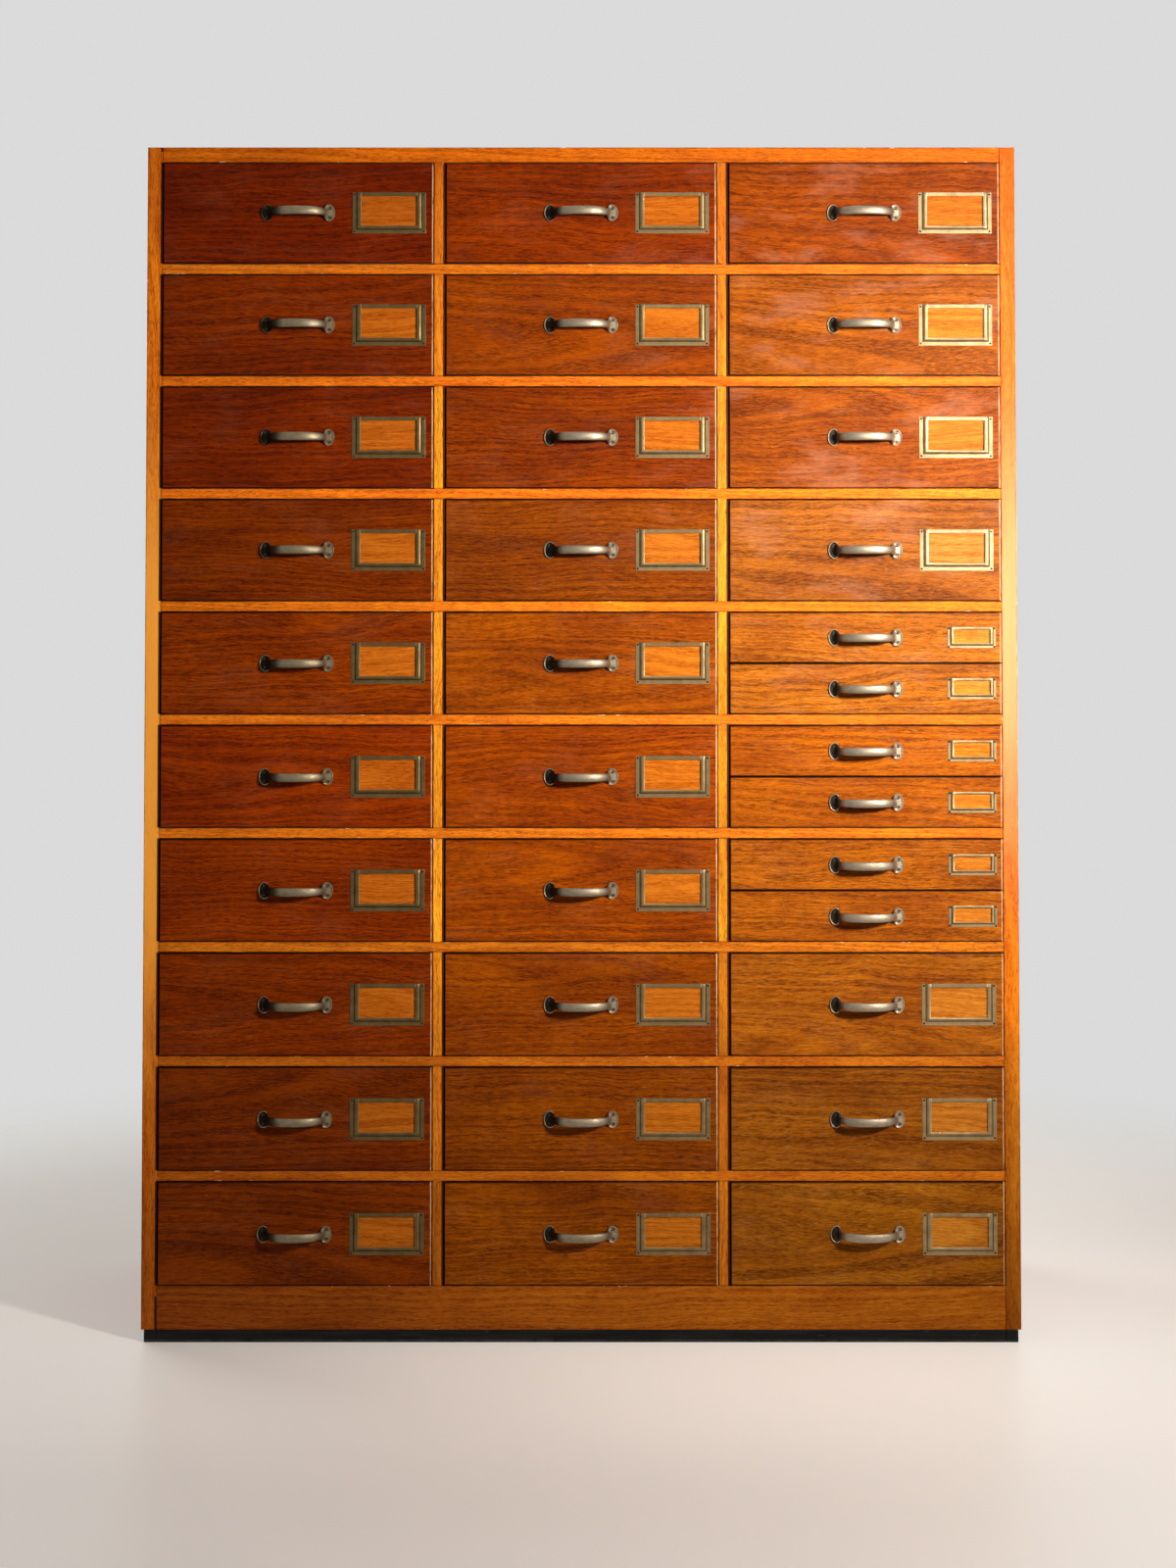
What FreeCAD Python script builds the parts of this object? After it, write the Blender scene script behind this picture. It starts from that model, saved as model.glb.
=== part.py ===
"""Oak bank of small drawers on a low plinth: three columns of ten rows, three of the rows split in one column.

Millimetres. +Z is up and the fronts face -Y. The origin is under the middle of the whole piece, pulls included.
"""

import math
import os

import FreeCAD
import Part

# Case, overall
overall_width = 1200.0
overall_height = 1638.0
case_depth = 450.0

# Case boards
side_panel_thickness = 21.0
top_board_thickness = 21.0
bottom_board_thickness = 14.0
partition_thickness = 15.0
front_rail_thickness = 14.0
front_rail_depth = 60.0
base_rail_height = 59.5
base_rail_thickness = 21.0
back_board_thickness = 8.0

# Layout
column_names = ("left", "middle", "right")
row_count = 10
split_column = "right"
split_rows = (5, 6, 7)

# Plinth
plinth_height = 17.0
plinth_inset = 4.0
plinth_board_depth = 40.0

# Runners and stops
runner_width = 35.0
slim_runner_width = 12.0
slim_runner_height = 6.0
slim_runner_gap = 1.0
stop_width = 12.0
stop_height = 12.0
slim_stop_height = 8.0
stop_depth = 18.0

# Drawers
front_thickness = 20.0
front_proud = 2.5
front_edge_radius = 1.5
front_side_gap = 1.5
front_top_gap = 1.2
front_bottom_gap = 0.8
split_front_gap = 1.2
front_lip_thickness = 8.0
drawer_side_thickness = 10.0
drawer_back_thickness = 8.0
drawer_bottom_thickness = 6.0
side_below_front = 6.0
back_below_side = 8.0
running_gap = 0.3
stop_gap = 0.3

# Pull
pull_length = 102.0
plate_width = 17.0
plate_height = 23.4
plate_thickness = 2.5
pull_projection = 30.0
bar_neck_inset = 12.5
bar_middle_height = 13.5
bar_neck_height = 7.5
bar_middle_thickness = 4.8
bar_neck_thickness = 6.0
bar_squareness = 2.6
bar_root_depth = 1.2
screw_spacing = 12.8
screw_inset = 7.0
screw_radius = 2.2
screw_length = 14.0

# Card frames: the large one, and the one on the shallow drawers
large_card_frame = {
    "width": 101.5,
    "height": 57.0,
    "side_band": 12.0,
    "bottom_band": 10.8,
    "top_band": 5.2,
    "flange": 5.8,
    "edge_margin": 10.0,
}
small_card_frame = {
    "width": 66.5,
    "height": 29.0,
    "side_band": 7.8,
    "bottom_band": 6.8,
    "top_band": 3.4,
    "flange": 3.8,
    "edge_margin": 7.5,
}
card_frame_sheet = 0.8
card_frame_rise = 2.6
pin_radius = 0.8
pin_length = 8.0
fastener_clearance = 0.05

# Sizes that follow
column_count = len(column_names)
inner_width = overall_width - 2 * side_panel_thickness
opening_width = (inner_width - (column_count - 1) * partition_thickness) / column_count
base_top = plinth_height + base_rail_height
top_board_underside = overall_height - top_board_thickness
opening_height = (top_board_underside - base_top - (row_count - 1) * front_rail_thickness) / row_count
row_pitch = opening_height + front_rail_thickness
column_pitch = opening_width + partition_thickness

overall_depth = case_depth + front_proud + pull_projection
case_front = -overall_depth / 2 + pull_projection + front_proud
case_back = case_front + case_depth
rail_back = case_front + front_rail_depth
back_board_front = case_back - back_board_thickness
front_face = case_front - front_proud
front_back = front_face + front_thickness
lip_back = front_face + front_lip_thickness
drawer_end = back_board_front - stop_depth - stop_gap

left_inside = -inner_width / 2
right_inside = inner_width / 2


def block(x_range, y_range, z_range):
    """A square-edged board between the given limits."""
    corner = FreeCAD.Vector(x_range[0], y_range[0], z_range[0])
    return Part.makeBox(
        x_range[1] - x_range[0],
        y_range[1] - y_range[0],
        z_range[1] - z_range[0],
        corner,
    )


def export(name, solids):
    """Writes one node: a single solid, or a group of separate ones."""
    shape = solids[0] if len(solids) == 1 else Part.makeCompound(solids)
    shape.exportStep(f"parts/{name}.step")


def column_limits(column):
    """Left and right faces of a column's openings."""
    start = left_inside + column_names.index(column) * column_pitch
    return start, start + opening_width


def row_floor(row):
    """Height of the surface that a row's drawers run on. Row 1 is the top one."""
    return base_top + (row_count - row) * row_pitch


def is_split(column, row):
    return column == split_column and row in split_rows


# Case


def side_panel(side):
    outside = side * overall_width / 2
    inside = outside - side * side_panel_thickness
    return block(sorted((outside, inside)), (case_front, case_back), (plinth_height, overall_height))


def top_board():
    return block((left_inside, right_inside), (case_front, back_board_front), (top_board_underside, overall_height))


def base_front_rail():
    return block(
        (left_inside, right_inside),
        (case_front, case_front + base_rail_thickness),
        (plinth_height, base_top),
    )


def bottom_board():
    return block(
        (left_inside, right_inside),
        (case_front + base_rail_thickness, back_board_front),
        (base_top - bottom_board_thickness, base_top),
    )


def front_rail(above_row):
    """The rail that the given row's drawers pass over."""
    top = row_floor(above_row)
    return block((left_inside, right_inside), (case_front, rail_back), (top - front_rail_thickness, top))


def partition_limits(number):
    """Faces of the partition to the right of the numbered column, counted from 0."""
    start = left_inside + (number + 1) * column_pitch - partition_thickness
    return start, start + partition_thickness


def partition(number):
    return block(partition_limits(number), (rail_back, back_board_front), (base_top, top_board_underside))


def muntins(number):
    """The short uprights between the rails, in front of a partition."""
    floors = [row_floor(row) for row in range(1, row_count + 1)]
    return [
        block(partition_limits(number), (case_front, rail_back), (floor, floor + opening_height))
        for floor in floors
    ]


def back_board(number):
    """One of the upright boards that close the back. They meet on the partitions' middle lines."""
    first = number == 0
    last = number == column_count - 1
    left = left_inside if first else sum(partition_limits(number - 1)) / 2
    right = right_inside if last else sum(partition_limits(number)) / 2
    return block((left, right), (back_board_front, case_back), (plinth_height, overall_height))


# Plinth


def plinth_side(side):
    outside = side * (overall_width / 2 - plinth_inset)
    inside = side * inner_width / 2
    return block(sorted((outside, inside)), (case_front, case_back), (0, plinth_height))


def plinth_front():
    return block((left_inside, right_inside), (case_front, case_front + plinth_board_depth), (0, plinth_height))


def plinth_back():
    return block((left_inside, right_inside), (case_back - plinth_board_depth, case_back), (0, plinth_height))


# Runners and stops


def against_walls(column, width):
    """The two strips of the given width that lie against a column's side walls."""
    left, right = column_limits(column)
    return (left, left + width), (right - width, right)


def split_floor(row):
    """Lower edge of a split row's upper front, which is the underside of its slim runners."""
    return row_floor(row) + front_bottom_gap + split_front_height + split_front_gap


def runners(column):
    """Strips behind the front rails that the drawers slide on."""
    strips = []
    for row in range(1, row_count):
        top = row_floor(row)
        for limits in against_walls(column, runner_width):
            strips.append(block(limits, (rail_back, back_board_front), (top - front_rail_thickness, top)))
    for row in range(1, row_count + 1):
        if is_split(column, row):
            under = split_floor(row)
            for limits in against_walls(column, slim_runner_width):
                y_range = (front_back + slim_runner_gap, back_board_front)
                strips.append(block(limits, y_range, (under, under + slim_runner_height)))
    return strips


def drawer_stops():
    """Small blocks at the runners' back ends that the drawer sides come up to."""
    blocks = []
    y_range = (back_board_front - stop_depth, back_board_front)
    for column in column_names:
        for row in range(1, row_count + 1):
            seats = [(row_floor(row), stop_height)]
            if is_split(column, row):
                seats.append((split_floor(row) + slim_runner_height, slim_stop_height))
            for seat, height in seats:
                for limits in against_walls(column, stop_width):
                    blocks.append(block(limits, y_range, (seat, seat + height)))
    return blocks


# Drawers

large_front_height = opening_height - front_top_gap - front_bottom_gap
split_front_height = (large_front_height - split_front_gap) / 2


def peg(radius, length, x, y_top, z):
    """A fastener driven straight back into the wood, or the hole that it makes."""
    start = FreeCAD.Vector(x, y_top, z)
    return Part.makeCylinder(radius, length, start, FreeCAD.Vector(0, 1, 0))


def pull_screw_places(x, z):
    reach = pull_length / 2 - screw_inset
    rise = screw_spacing / 2
    return [(x + side * reach, z + step * rise) for side in (-1, 1) for step in (-1, 1)]


def pull_screw(place, extra=0.0):
    length = plate_thickness + screw_length
    return peg(screw_radius + extra, length, place[0], front_face - plate_thickness, place[1])


def card_pin_places(frame, x, z):
    reach = frame["width"] / 2 - frame["flange"] / 2
    rise = frame["height"] / 2 - frame["flange"] / 2
    return [(x + side * reach, z + step * rise) for side in (-1, 1) for step in (-1, 1)]


def card_pin(place, extra=0.0):
    return peg(pin_radius + extra, pin_length, place[0], front_face - card_frame_sheet, place[1])


def bar_section(angle):
    """Outline across the bar at an angle along its bow, 0 and pi being the necks."""
    half_span = pull_length / 2 - bar_neck_inset
    reach = pull_projection - bar_middle_thickness / 2 - bar_root_depth
    power = 2 / bar_squareness
    across = math.cos(angle)
    out = math.sin(angle)
    x = half_span * math.copysign(abs(across) ** power, across)
    y = -bar_root_depth - reach * abs(out) ** power
    slope_x = -half_span * power * max(abs(across), 0.02) ** (power - 1) * out
    slope_y = -reach * power * max(abs(out), 0.02) ** (power - 1) * across
    middle = abs(out) ** 1.5
    half_height = (bar_neck_height + (bar_middle_height - bar_neck_height) * middle) / 2
    half_thickness = (bar_neck_thickness + (bar_middle_thickness - bar_neck_thickness) * middle) / 2
    return FreeCAD.Vector(x, y, 0), FreeCAD.Vector(slope_x, slope_y, 0), half_height, half_thickness


def pull():
    """Bow handle with an oval plate at each end, its back face on y = 0 and its middle at the origin."""
    up = FreeCAD.Vector(0, 0, 1)
    sections = []
    section_count = 13
    for step in range(section_count):
        angle = math.pi * step / (section_count - 1)
        centre, along, half_height, half_thickness = bar_section(angle)
        if step in (0, section_count - 1):
            along = FreeCAD.Vector(0, -1 if step == 0 else 1, 0)
        sideways = along.cross(up).normalize()
        tall = centre + up * half_height
        wide = centre + sideways * half_thickness
        oval = Part.Ellipse(tall, wide, centre)
        sections.append(Part.Wire([oval.toShape()]))
    shape = Part.makeLoft(sections, True)
    for side in (-1, 1):
        x = side * (pull_length - plate_width) / 2
        centre = FreeCAD.Vector(x, 0, 0)
        outline = Part.Ellipse(
            centre + FreeCAD.Vector(0, 0, plate_height / 2),
            centre + FreeCAD.Vector(plate_width / 2, 0, 0),
            centre,
        )
        face = Part.Face(Part.Wire([outline.toShape()]))
        shape = shape.fuse(face.extrude(FreeCAD.Vector(0, -plate_thickness, 0)))
    shape.translate(FreeCAD.Vector(0, front_face, 0))
    for place in pull_screw_places(0, 0):
        shape = shape.cut(pull_screw(place, fastener_clearance))
    return shape.Solids[0]


def card_frame(frame):
    """Pressed frame with a flange on three sides and a raised lip that a card slides behind from above."""
    half = frame["width"] / 2
    bottom = -frame["height"] / 2
    top = frame["height"] / 2
    flange = frame["flange"]
    sheet = card_frame_sheet
    rise = card_frame_rise
    face = front_face
    plate = block((-half, half), (face - sheet, face), (bottom, top))
    raised = block(
        (-half + flange - sheet, half - flange + sheet),
        (face - rise, face),
        (bottom + flange - sheet, top),
    )
    slot = block((-half + flange, half - flange), (face - rise + sheet, face), (bottom + flange, top))
    window = block(
        (-half + frame["side_band"], half - frame["side_band"]),
        (face - rise, face),
        (bottom + frame["bottom_band"], top - frame["top_band"]),
    )
    shape = plate.fuse(raised).cut(slot).cut(window)
    for place in card_pin_places(frame, 0, 0):
        shape = shape.cut(card_pin(place, fastener_clearance))
    return shape.removeSplitter().Solids[0]


def drawer_front(x_range, z_range, box_bottom, fixings):
    """Thick front whose back is rebated at both ends for the sides and below for the bottom."""
    lip = block(x_range, (front_face, lip_back), z_range)
    face_edges = [
        edge
        for edge in lip.Edges
        if all(abs(vertex.Y - front_face) < 1e-6 for vertex in edge.Vertexes)
    ]
    lip = lip.makeFillet(front_edge_radius, face_edges)
    inner = block(
        (x_range[0] + drawer_side_thickness, x_range[1] - drawer_side_thickness),
        (lip_back, front_back),
        (box_bottom + drawer_bottom_thickness, z_range[1]),
    )
    shape = lip.fuse(inner)
    for fixing in fixings:
        shape = shape.cut(fixing)
    return shape.Solids[0]


def drawer(column, front_floor, front_height, box_bottom, frame, pull_shape, frame_shape):
    """One drawer: front, sides, back, bottom, pull with its screws, and card frame with its pins."""
    left, right = column_limits(column)
    x_range = (left + front_side_gap, right - front_side_gap)
    z_range = (front_floor, front_floor + front_height)
    box_top = z_range[1] - side_below_front
    side_floor = box_bottom + drawer_bottom_thickness
    middle_x = sum(x_range) / 2
    middle_z = sum(z_range) / 2
    frame_x = x_range[1] - frame["edge_margin"] - frame["width"] / 2

    screw_places = pull_screw_places(middle_x, middle_z)
    pin_places = card_pin_places(frame, frame_x, middle_z)
    holes = [pull_screw(place, fastener_clearance) for place in screw_places]
    holes += [card_pin(place, fastener_clearance) for place in pin_places]

    front = drawer_front(x_range, z_range, box_bottom, holes)
    left_side = block(
        (x_range[0], x_range[0] + drawer_side_thickness),
        (lip_back, drawer_end),
        (side_floor, box_top),
    )
    right_side = block(
        (x_range[1] - drawer_side_thickness, x_range[1]),
        (lip_back, drawer_end),
        (side_floor, box_top),
    )
    back = block(
        (x_range[0] + drawer_side_thickness, x_range[1] - drawer_side_thickness),
        (drawer_end - drawer_back_thickness, drawer_end),
        (side_floor, box_top - back_below_side),
    )
    bottom = block(x_range, (lip_back, drawer_end), (box_bottom, side_floor))
    placed_pull = pull_shape.translated(FreeCAD.Vector(middle_x, 0, middle_z))
    placed_frame = frame_shape.translated(FreeCAD.Vector(frame_x, 0, middle_z))
    screws = [pull_screw(place) for place in screw_places]
    pins = [card_pin(place) for place in pin_places]
    return [front, left_side, right_side, back, bottom, placed_pull, placed_frame, *screws, *pins]


def export_drawers():
    pull_shape = pull()
    large_frame = card_frame(large_card_frame)
    small_frame = card_frame(small_card_frame)
    for column in column_names:
        for row in range(1, row_count + 1):
            floor = row_floor(row)
            name = f"drawer_row{row:02d}_{column}"
            front_floor = floor + front_bottom_gap
            box_bottom = floor + running_gap
            if not is_split(column, row):
                solids = drawer(
                    column,
                    front_floor,
                    large_front_height,
                    box_bottom,
                    large_card_frame,
                    pull_shape,
                    large_frame,
                )
                export(name, solids)
                continue
            upper_floor = split_floor(row)
            upper_bottom = upper_floor + slim_runner_height + running_gap
            levels = {"lower": (front_floor, box_bottom), "upper": (upper_floor, upper_bottom)}
            for level, (level_floor, level_bottom) in levels.items():
                solids = drawer(
                    column,
                    level_floor,
                    split_front_height,
                    level_bottom,
                    small_card_frame,
                    pull_shape,
                    small_frame,
                )
                export(f"{name}_{level}", solids)


os.makedirs("parts", exist_ok=True)

export("left_side_panel", [side_panel(-1)])
export("right_side_panel", [side_panel(1)])
export("top_board", [top_board()])
export("bottom_board", [bottom_board()])
export("base_front_rail", [base_front_rail()])
for row in range(1, row_count):
    export(f"front_rail_{row}", [front_rail(row)])
export("left_partition", [partition(0)])
export("right_partition", [partition(1)])
export("left_muntins", muntins(0))
export("right_muntins", muntins(1))
export("back_boards", [back_board(number) for number in range(column_count)])
export("plinth_left", [plinth_side(-1)])
export("plinth_right", [plinth_side(1)])
export("plinth_front", [plinth_front()])
export("plinth_back", [plinth_back()])
for column in column_names:
    export(f"runners_{column}", runners(column))
export("drawer_stops", drawer_stops())
export_drawers()
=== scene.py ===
import math
import random
from collections import namedtuple

import bmesh
import bpy
from mathutils import Matrix, Vector


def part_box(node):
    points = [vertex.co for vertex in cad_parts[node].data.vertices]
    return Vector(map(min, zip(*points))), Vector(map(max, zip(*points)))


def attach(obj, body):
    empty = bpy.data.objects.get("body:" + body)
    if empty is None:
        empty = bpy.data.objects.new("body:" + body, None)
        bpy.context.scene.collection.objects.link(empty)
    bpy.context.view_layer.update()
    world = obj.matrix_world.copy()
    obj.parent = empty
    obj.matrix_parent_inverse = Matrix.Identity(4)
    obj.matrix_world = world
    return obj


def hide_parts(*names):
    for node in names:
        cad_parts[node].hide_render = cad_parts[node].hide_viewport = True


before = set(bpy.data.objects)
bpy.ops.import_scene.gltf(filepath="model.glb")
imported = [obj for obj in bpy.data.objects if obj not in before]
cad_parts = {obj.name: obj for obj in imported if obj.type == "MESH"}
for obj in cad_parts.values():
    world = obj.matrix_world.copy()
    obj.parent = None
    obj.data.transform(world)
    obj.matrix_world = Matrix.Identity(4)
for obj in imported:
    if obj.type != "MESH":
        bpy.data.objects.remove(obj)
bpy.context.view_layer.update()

# Side panels
# Each side of the case is an oak board, glued up from three planks and planed to 21 mm.
# Its front edge stands in view as the stile, and the varnish has worn thin along its corners.
side_planks = ((0.0, 0.335), (0.335, 0.68), (0.68, 1.0))
arris = 0.0008
glue_line_arris = 0.0003
sideways, inward, upward = 0, 1, 2
chance = random.Random(1931)


def put_down():
    """Nothing stays selected, so that the next tool acts on its own piece only."""
    if bpy.context.object and bpy.context.object.mode != "OBJECT":
        bpy.ops.object.mode_set(mode="OBJECT")
    bpy.ops.object.select_all(action="DESELECT")


def pick_up(piece):
    put_down()
    piece.select_set(True)
    bpy.context.view_layer.objects.active = piece


def block(name, low, high):
    """A squared block of wood or metal between two corners, open in edit mode with all of it selected."""
    put_down()
    middle = [(a + b) / 2 for a, b in zip(low, high)]
    size = [b - a for a, b in zip(low, high)]
    bpy.ops.mesh.primitive_cube_add(size=1)
    piece = bpy.context.object
    piece.name = name
    piece.data.name = name
    bpy.ops.object.mode_set(mode="EDIT")
    bpy.ops.transform.resize(value=size)
    bpy.ops.transform.translate(value=middle)
    return piece


def write_points(piece, name, numbers):
    """Keeps three numbers for each point of a piece, for its finish to read."""
    layer = piece.data.attributes.get(name)
    if layer is None:
        layer = piece.data.attributes.new(name, "FLOAT_VECTOR", "POINT")
    layer.data.foreach_set("vector", numbers)


def mark(piece, name, value):
    """Keeps the same three numbers for every point of a piece."""
    write_points(piece, name, list(value) * len(piece.data.vertices))


def new_board(piece, stain=(1.0, 1.0, 1.0)):
    """Says which part of a tree a board was sawn from, and how its stain, with any painted light and shade it
    is given, differs from its neighbours'.
    """
    start = (chance.uniform(-3, 3), chance.uniform(-0.09, 0.09), chance.uniform(0.03, 0.11))
    shade = 1 + chance.uniform(-0.06, 0.06)
    mark(piece, "sawn_from", start)
    mark(piece, "stain", [part * shade for part in stain])


def lay_grain(piece, low, high, along, face):
    """Writes each point's place on its board: along the grain, across it, and through the thickness."""
    across = 3 - along - face
    order = (along, across, face)
    middle = [(low[axis] + high[axis]) / 2 for axis in order]
    half = [(high[axis] - low[axis]) / 2 for axis in order]
    places = []
    for vertex in piece.data.vertices:
        places += [vertex.co[axis] - centre for axis, centre in zip(order, middle)]
    write_points(piece, "place", places)
    mark(piece, "half_size", half)


def keep_flats(piece):
    """Rounds the shading of the eased corners only. The planed faces between them stay flat."""
    for face in piece.data.polygons:
        face.use_smooth = max(abs(part) for part in face.normal) < 0.999


def plank(name, low, high, along, face, corner=arris, stain=(1.0, 1.0, 1.0)):
    """A planed board with eased corners. along and face are the axes of its grain and of its thickness."""
    piece = block(name, low, high)
    bpy.ops.mesh.bevel(offset=corner, segments=2, affect="EDGES")
    bpy.ops.object.mode_set(mode="OBJECT")
    keep_flats(piece)
    lay_grain(piece, low, high, along, face)
    new_board(piece, stain)
    return piece


def glue_up(name, pieces):
    """Joins boards into one piece."""
    put_down()
    for piece in pieces:
        piece.select_set(True)
    bpy.context.view_layer.objects.active = pieces[0]
    bpy.ops.object.join()
    pieces[0].name = name
    pieces[0].data.name = name
    return pieces[0]


def wide_board(name, node, planks, along, face, stain=(1.0, 1.0, 1.0)):
    """A board glued up from planks, each between two shares of its depth. The first has the front edge."""
    low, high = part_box(node)
    depth = high.y - low.y
    pieces = []
    for start, end in planks:
        near = (low.x, low.y + depth * start, low.z)
        far = (high.x, low.y + depth * end, high.z)
        corner = arris if start == 0.0 else glue_line_arris
        pieces.append(plank(name + "_plank", near, far, along, face, corner, stain))
    return glue_up(name, pieces)


def add_node(finish, kind, settings, inputs):
    """Adds a shader node. An input is a number, a colour, or the output of another node."""
    node = finish.node_tree.nodes.new("ShaderNode" + kind)
    for key, value in settings.items():
        setattr(node, key, value)
    for key, value in inputs.items():
        if isinstance(value, bpy.types.NodeSocket):
            finish.node_tree.links.new(value, node.inputs[key])
        else:
            node.inputs[key].default_value = value
    return node


def read(finish, name):
    return add_node(finish, "Attribute", {"attribute_name": name}, {}).outputs["Vector"]


def object_place(finish):
    """Each point's place on the chest."""
    return add_node(finish, "TexCoord", {}, {}).outputs["Object"]


def parts(finish, vector):
    """The three numbers of a place or of another vector."""
    return add_node(finish, "SeparateXYZ", {}, {0: vector}).outputs


def sums(finish, operation, first, second=0.0, third=0.0):
    inputs = {0: first, 1: second, 2: third}
    return add_node(finish, "Math", {"operation": operation}, inputs).outputs[0]


def times(finish, first, second):
    return sums(finish, "MULTIPLY", first, second)


def vectors(finish, operation, first, second):
    return add_node(finish, "VectorMath", {"operation": operation}, {0: first, 1: second}).outputs[0]


def ramp(finish, value, start, end, low=0.0, high=1.0):
    """Turns a value between start and end into one between low and high."""
    settings = {"interpolation_type": "SMOOTHSTEP"}
    inputs = {0: value, 1: start, 2: end, 3: low, 4: high}
    return add_node(finish, "MapRange", settings, inputs).outputs[0]


def clouds(finish, place, size, detail=2.0, roughness=0.5):
    """Random soft patches, with size patches to a metre in each direction."""
    place = vectors(finish, "MULTIPLY", place, size)
    inputs = {"Vector": place, "Scale": 1.0, "Detail": detail, "Roughness": roughness}
    return add_node(finish, "TexNoise", {}, inputs).outputs[0]


def blend_colours(finish, amount, first, second, how="MIX"):
    settings = {"data_type": "RGBA", "blend_type": how}
    return add_node(finish, "Mix", settings, {0: amount, 6: first, 7: second}).outputs[2]


def tint(finish, colour, by, amount=1.0):
    """Stains a colour with another, as a glaze does."""
    return blend_colours(finish, amount, colour, by, "MULTIPLY")


def plain_finish(name):
    """A new material with its shader, to be given colour, gloss and relief."""
    finish = bpy.data.materials.new(name)
    finish.use_nodes = True
    return finish, finish.node_tree.nodes["Principled BSDF"]


def join_up(finish, shader, colour, roughness, relief=None, strength=0.0, depth=0.0):
    """Gives a shader its colour and roughness and, if there is one, a relief of some depth in metres."""
    links = finish.node_tree.links
    links.new(colour, shader.inputs["Base Color"])
    links.new(roughness, shader.inputs["Roughness"])
    if relief is not None:
        bump = add_node(finish, "Bump", {}, {"Strength": strength, "Distance": depth, "Height": relief})
        links.new(bump.outputs[0], shader.inputs["Normal"])


# Black for painted shade: the shadow beside each front's left end and the shade along its edges.
shadow_black = (0.020, 0.003, 0.0005, 1)
bare_chip = (0.86, 0.62, 0.38, 1)
# A painted highlight on the fronts' right ends, and varnish haze with a painted sheen.
highlit_end = (0.95, 0.56, 0.28, 1)
haze_and_sheen_colour = (0.60, 0.27, 0.15, 1)
# The share of the painted shade near the floor that the rails keep at the right.
rails_shaded_at_right = 0.42
# Painted light on the stiles' front edges: the left one's, and the right one's near the floor, lower and
# higher.
left_stile_light = (0.98, 0.90, 0.75, 1)
right_stile_lights = ((0.86, 1.02, 0.9, 1), (0.86, 0.80, 0.6, 1), (0.93, 0.62, 0.40, 1))


def sawn_place(finish, place):
    """The place in the tree that a point of a board was sawn from, with a slow sway of the grain."""
    wood = vectors(finish, "ADD", place, read(finish, "sawn_from"))
    sway = clouds(finish, wood, (4.5, 9.0, 9.0), 2.0, 0.55)
    sway = sums(finish, "MULTIPLY_ADD", sway, 0.036, -0.018)
    return vectors(finish, "ADD", wood, add_node(finish, "CombineXYZ", {}, {1: sway}).outputs[0])


def growth_rings(finish, wood):
    """Pale and dark rings, by the distance from the heart of the tree."""
    axes = parts(finish, wood)
    depth = sums(finish, "MULTIPLY_ADD", axes[0], 0.03, axes[2])
    squares = sums(finish, "ADD", times(finish, axes[1], axes[1]), times(finish, depth, depth))
    inputs = {"W": sums(finish, "SQRT", squares), "Scale": 210.0, "Detail": 2.0, "Roughness": 0.6}
    rings = add_node(finish, "TexNoise", {"noise_dimensions": "1D"}, inputs).outputs[0]
    return ramp(finish, rings, 0.36, 0.64)


def shaded_foot(finish, colour, foot, spot, height, share_at_right):
    """Painted shade near the floor: the case is darkened by the whole of foot at the left and by a share at
    the right.
    """
    foot_shading = times(finish, ramp(finish, height, 0.06, 0.72, 1.0, 0.0),
                     ramp(finish, spot[0], -0.6, 0.6, 1.0, share_at_right))
    return blend_colours(finish, foot_shading, colour, tint(finish, colour, foot))


def lit_stiles(finish, colour, stile_highlight, spot, height):
    """The stiles' front edges, each with painted light and shade of its own by height, and a painted
    highlight over a stretch, in a colour of its own.
    """
    left = ramp(finish, spot[0], -0.1, 0.1, 1.0, 0.0)
    edge = ramp(finish, spot[1], side_front + 0.002, side_front + 0.010, 1.0, 0.0)
    stile_foot_light, stile_low_light, stile_high_light = right_stile_lights
    right_stile_light = blend_colours(finish, ramp(finish, height, 0.40, 0.60), stile_foot_light, stile_low_light)
    right_stile_light = blend_colours(finish, ramp(finish, height, 0.62, 0.95), right_stile_light, stile_high_light)
    lit_stile_colour = tint(finish, colour, blend_colours(finish, left, right_stile_light, left_stile_light))
    colour = blend_colours(finish, edge, colour, lit_stile_colour)
    # A painted highlight over the stretch at the lamp's height, starting lower on the left stile.
    rise = ramp(finish, sums(finish, "MULTIPLY_ADD", left, 0.28, height), 0.62, 1.10)
    highlight_band = sums(finish, "MINIMUM", rise, ramp(finish, height, 1.06, 1.44, 0.8, 0.0))
    highlit_stile_wood = blend_colours(finish, left, stile_highlight[1], stile_highlight[0])
    return blend_colours(finish, times(finish, edge, highlight_band), colour, highlit_stile_wood)


def distance_inside(finish, place):
    """How far a point is inside each pair of its board's faces, and how far from the nearest corner."""
    depth = add_node(finish, "VectorMath", {"operation": "ABSOLUTE"}, {0: place}).outputs[0]
    inside = parts(finish, vectors(finish, "SUBTRACT", read(finish, "half_size"), depth))
    nearer = sums(finish, "MINIMUM", inside[0], inside[1])
    farther = sums(finish, "MAXIMUM", inside[0], inside[1])
    return inside, sums(finish, "MAXIMUM", nearer, sums(finish, "MINIMUM", farther, inside[2]))


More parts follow.
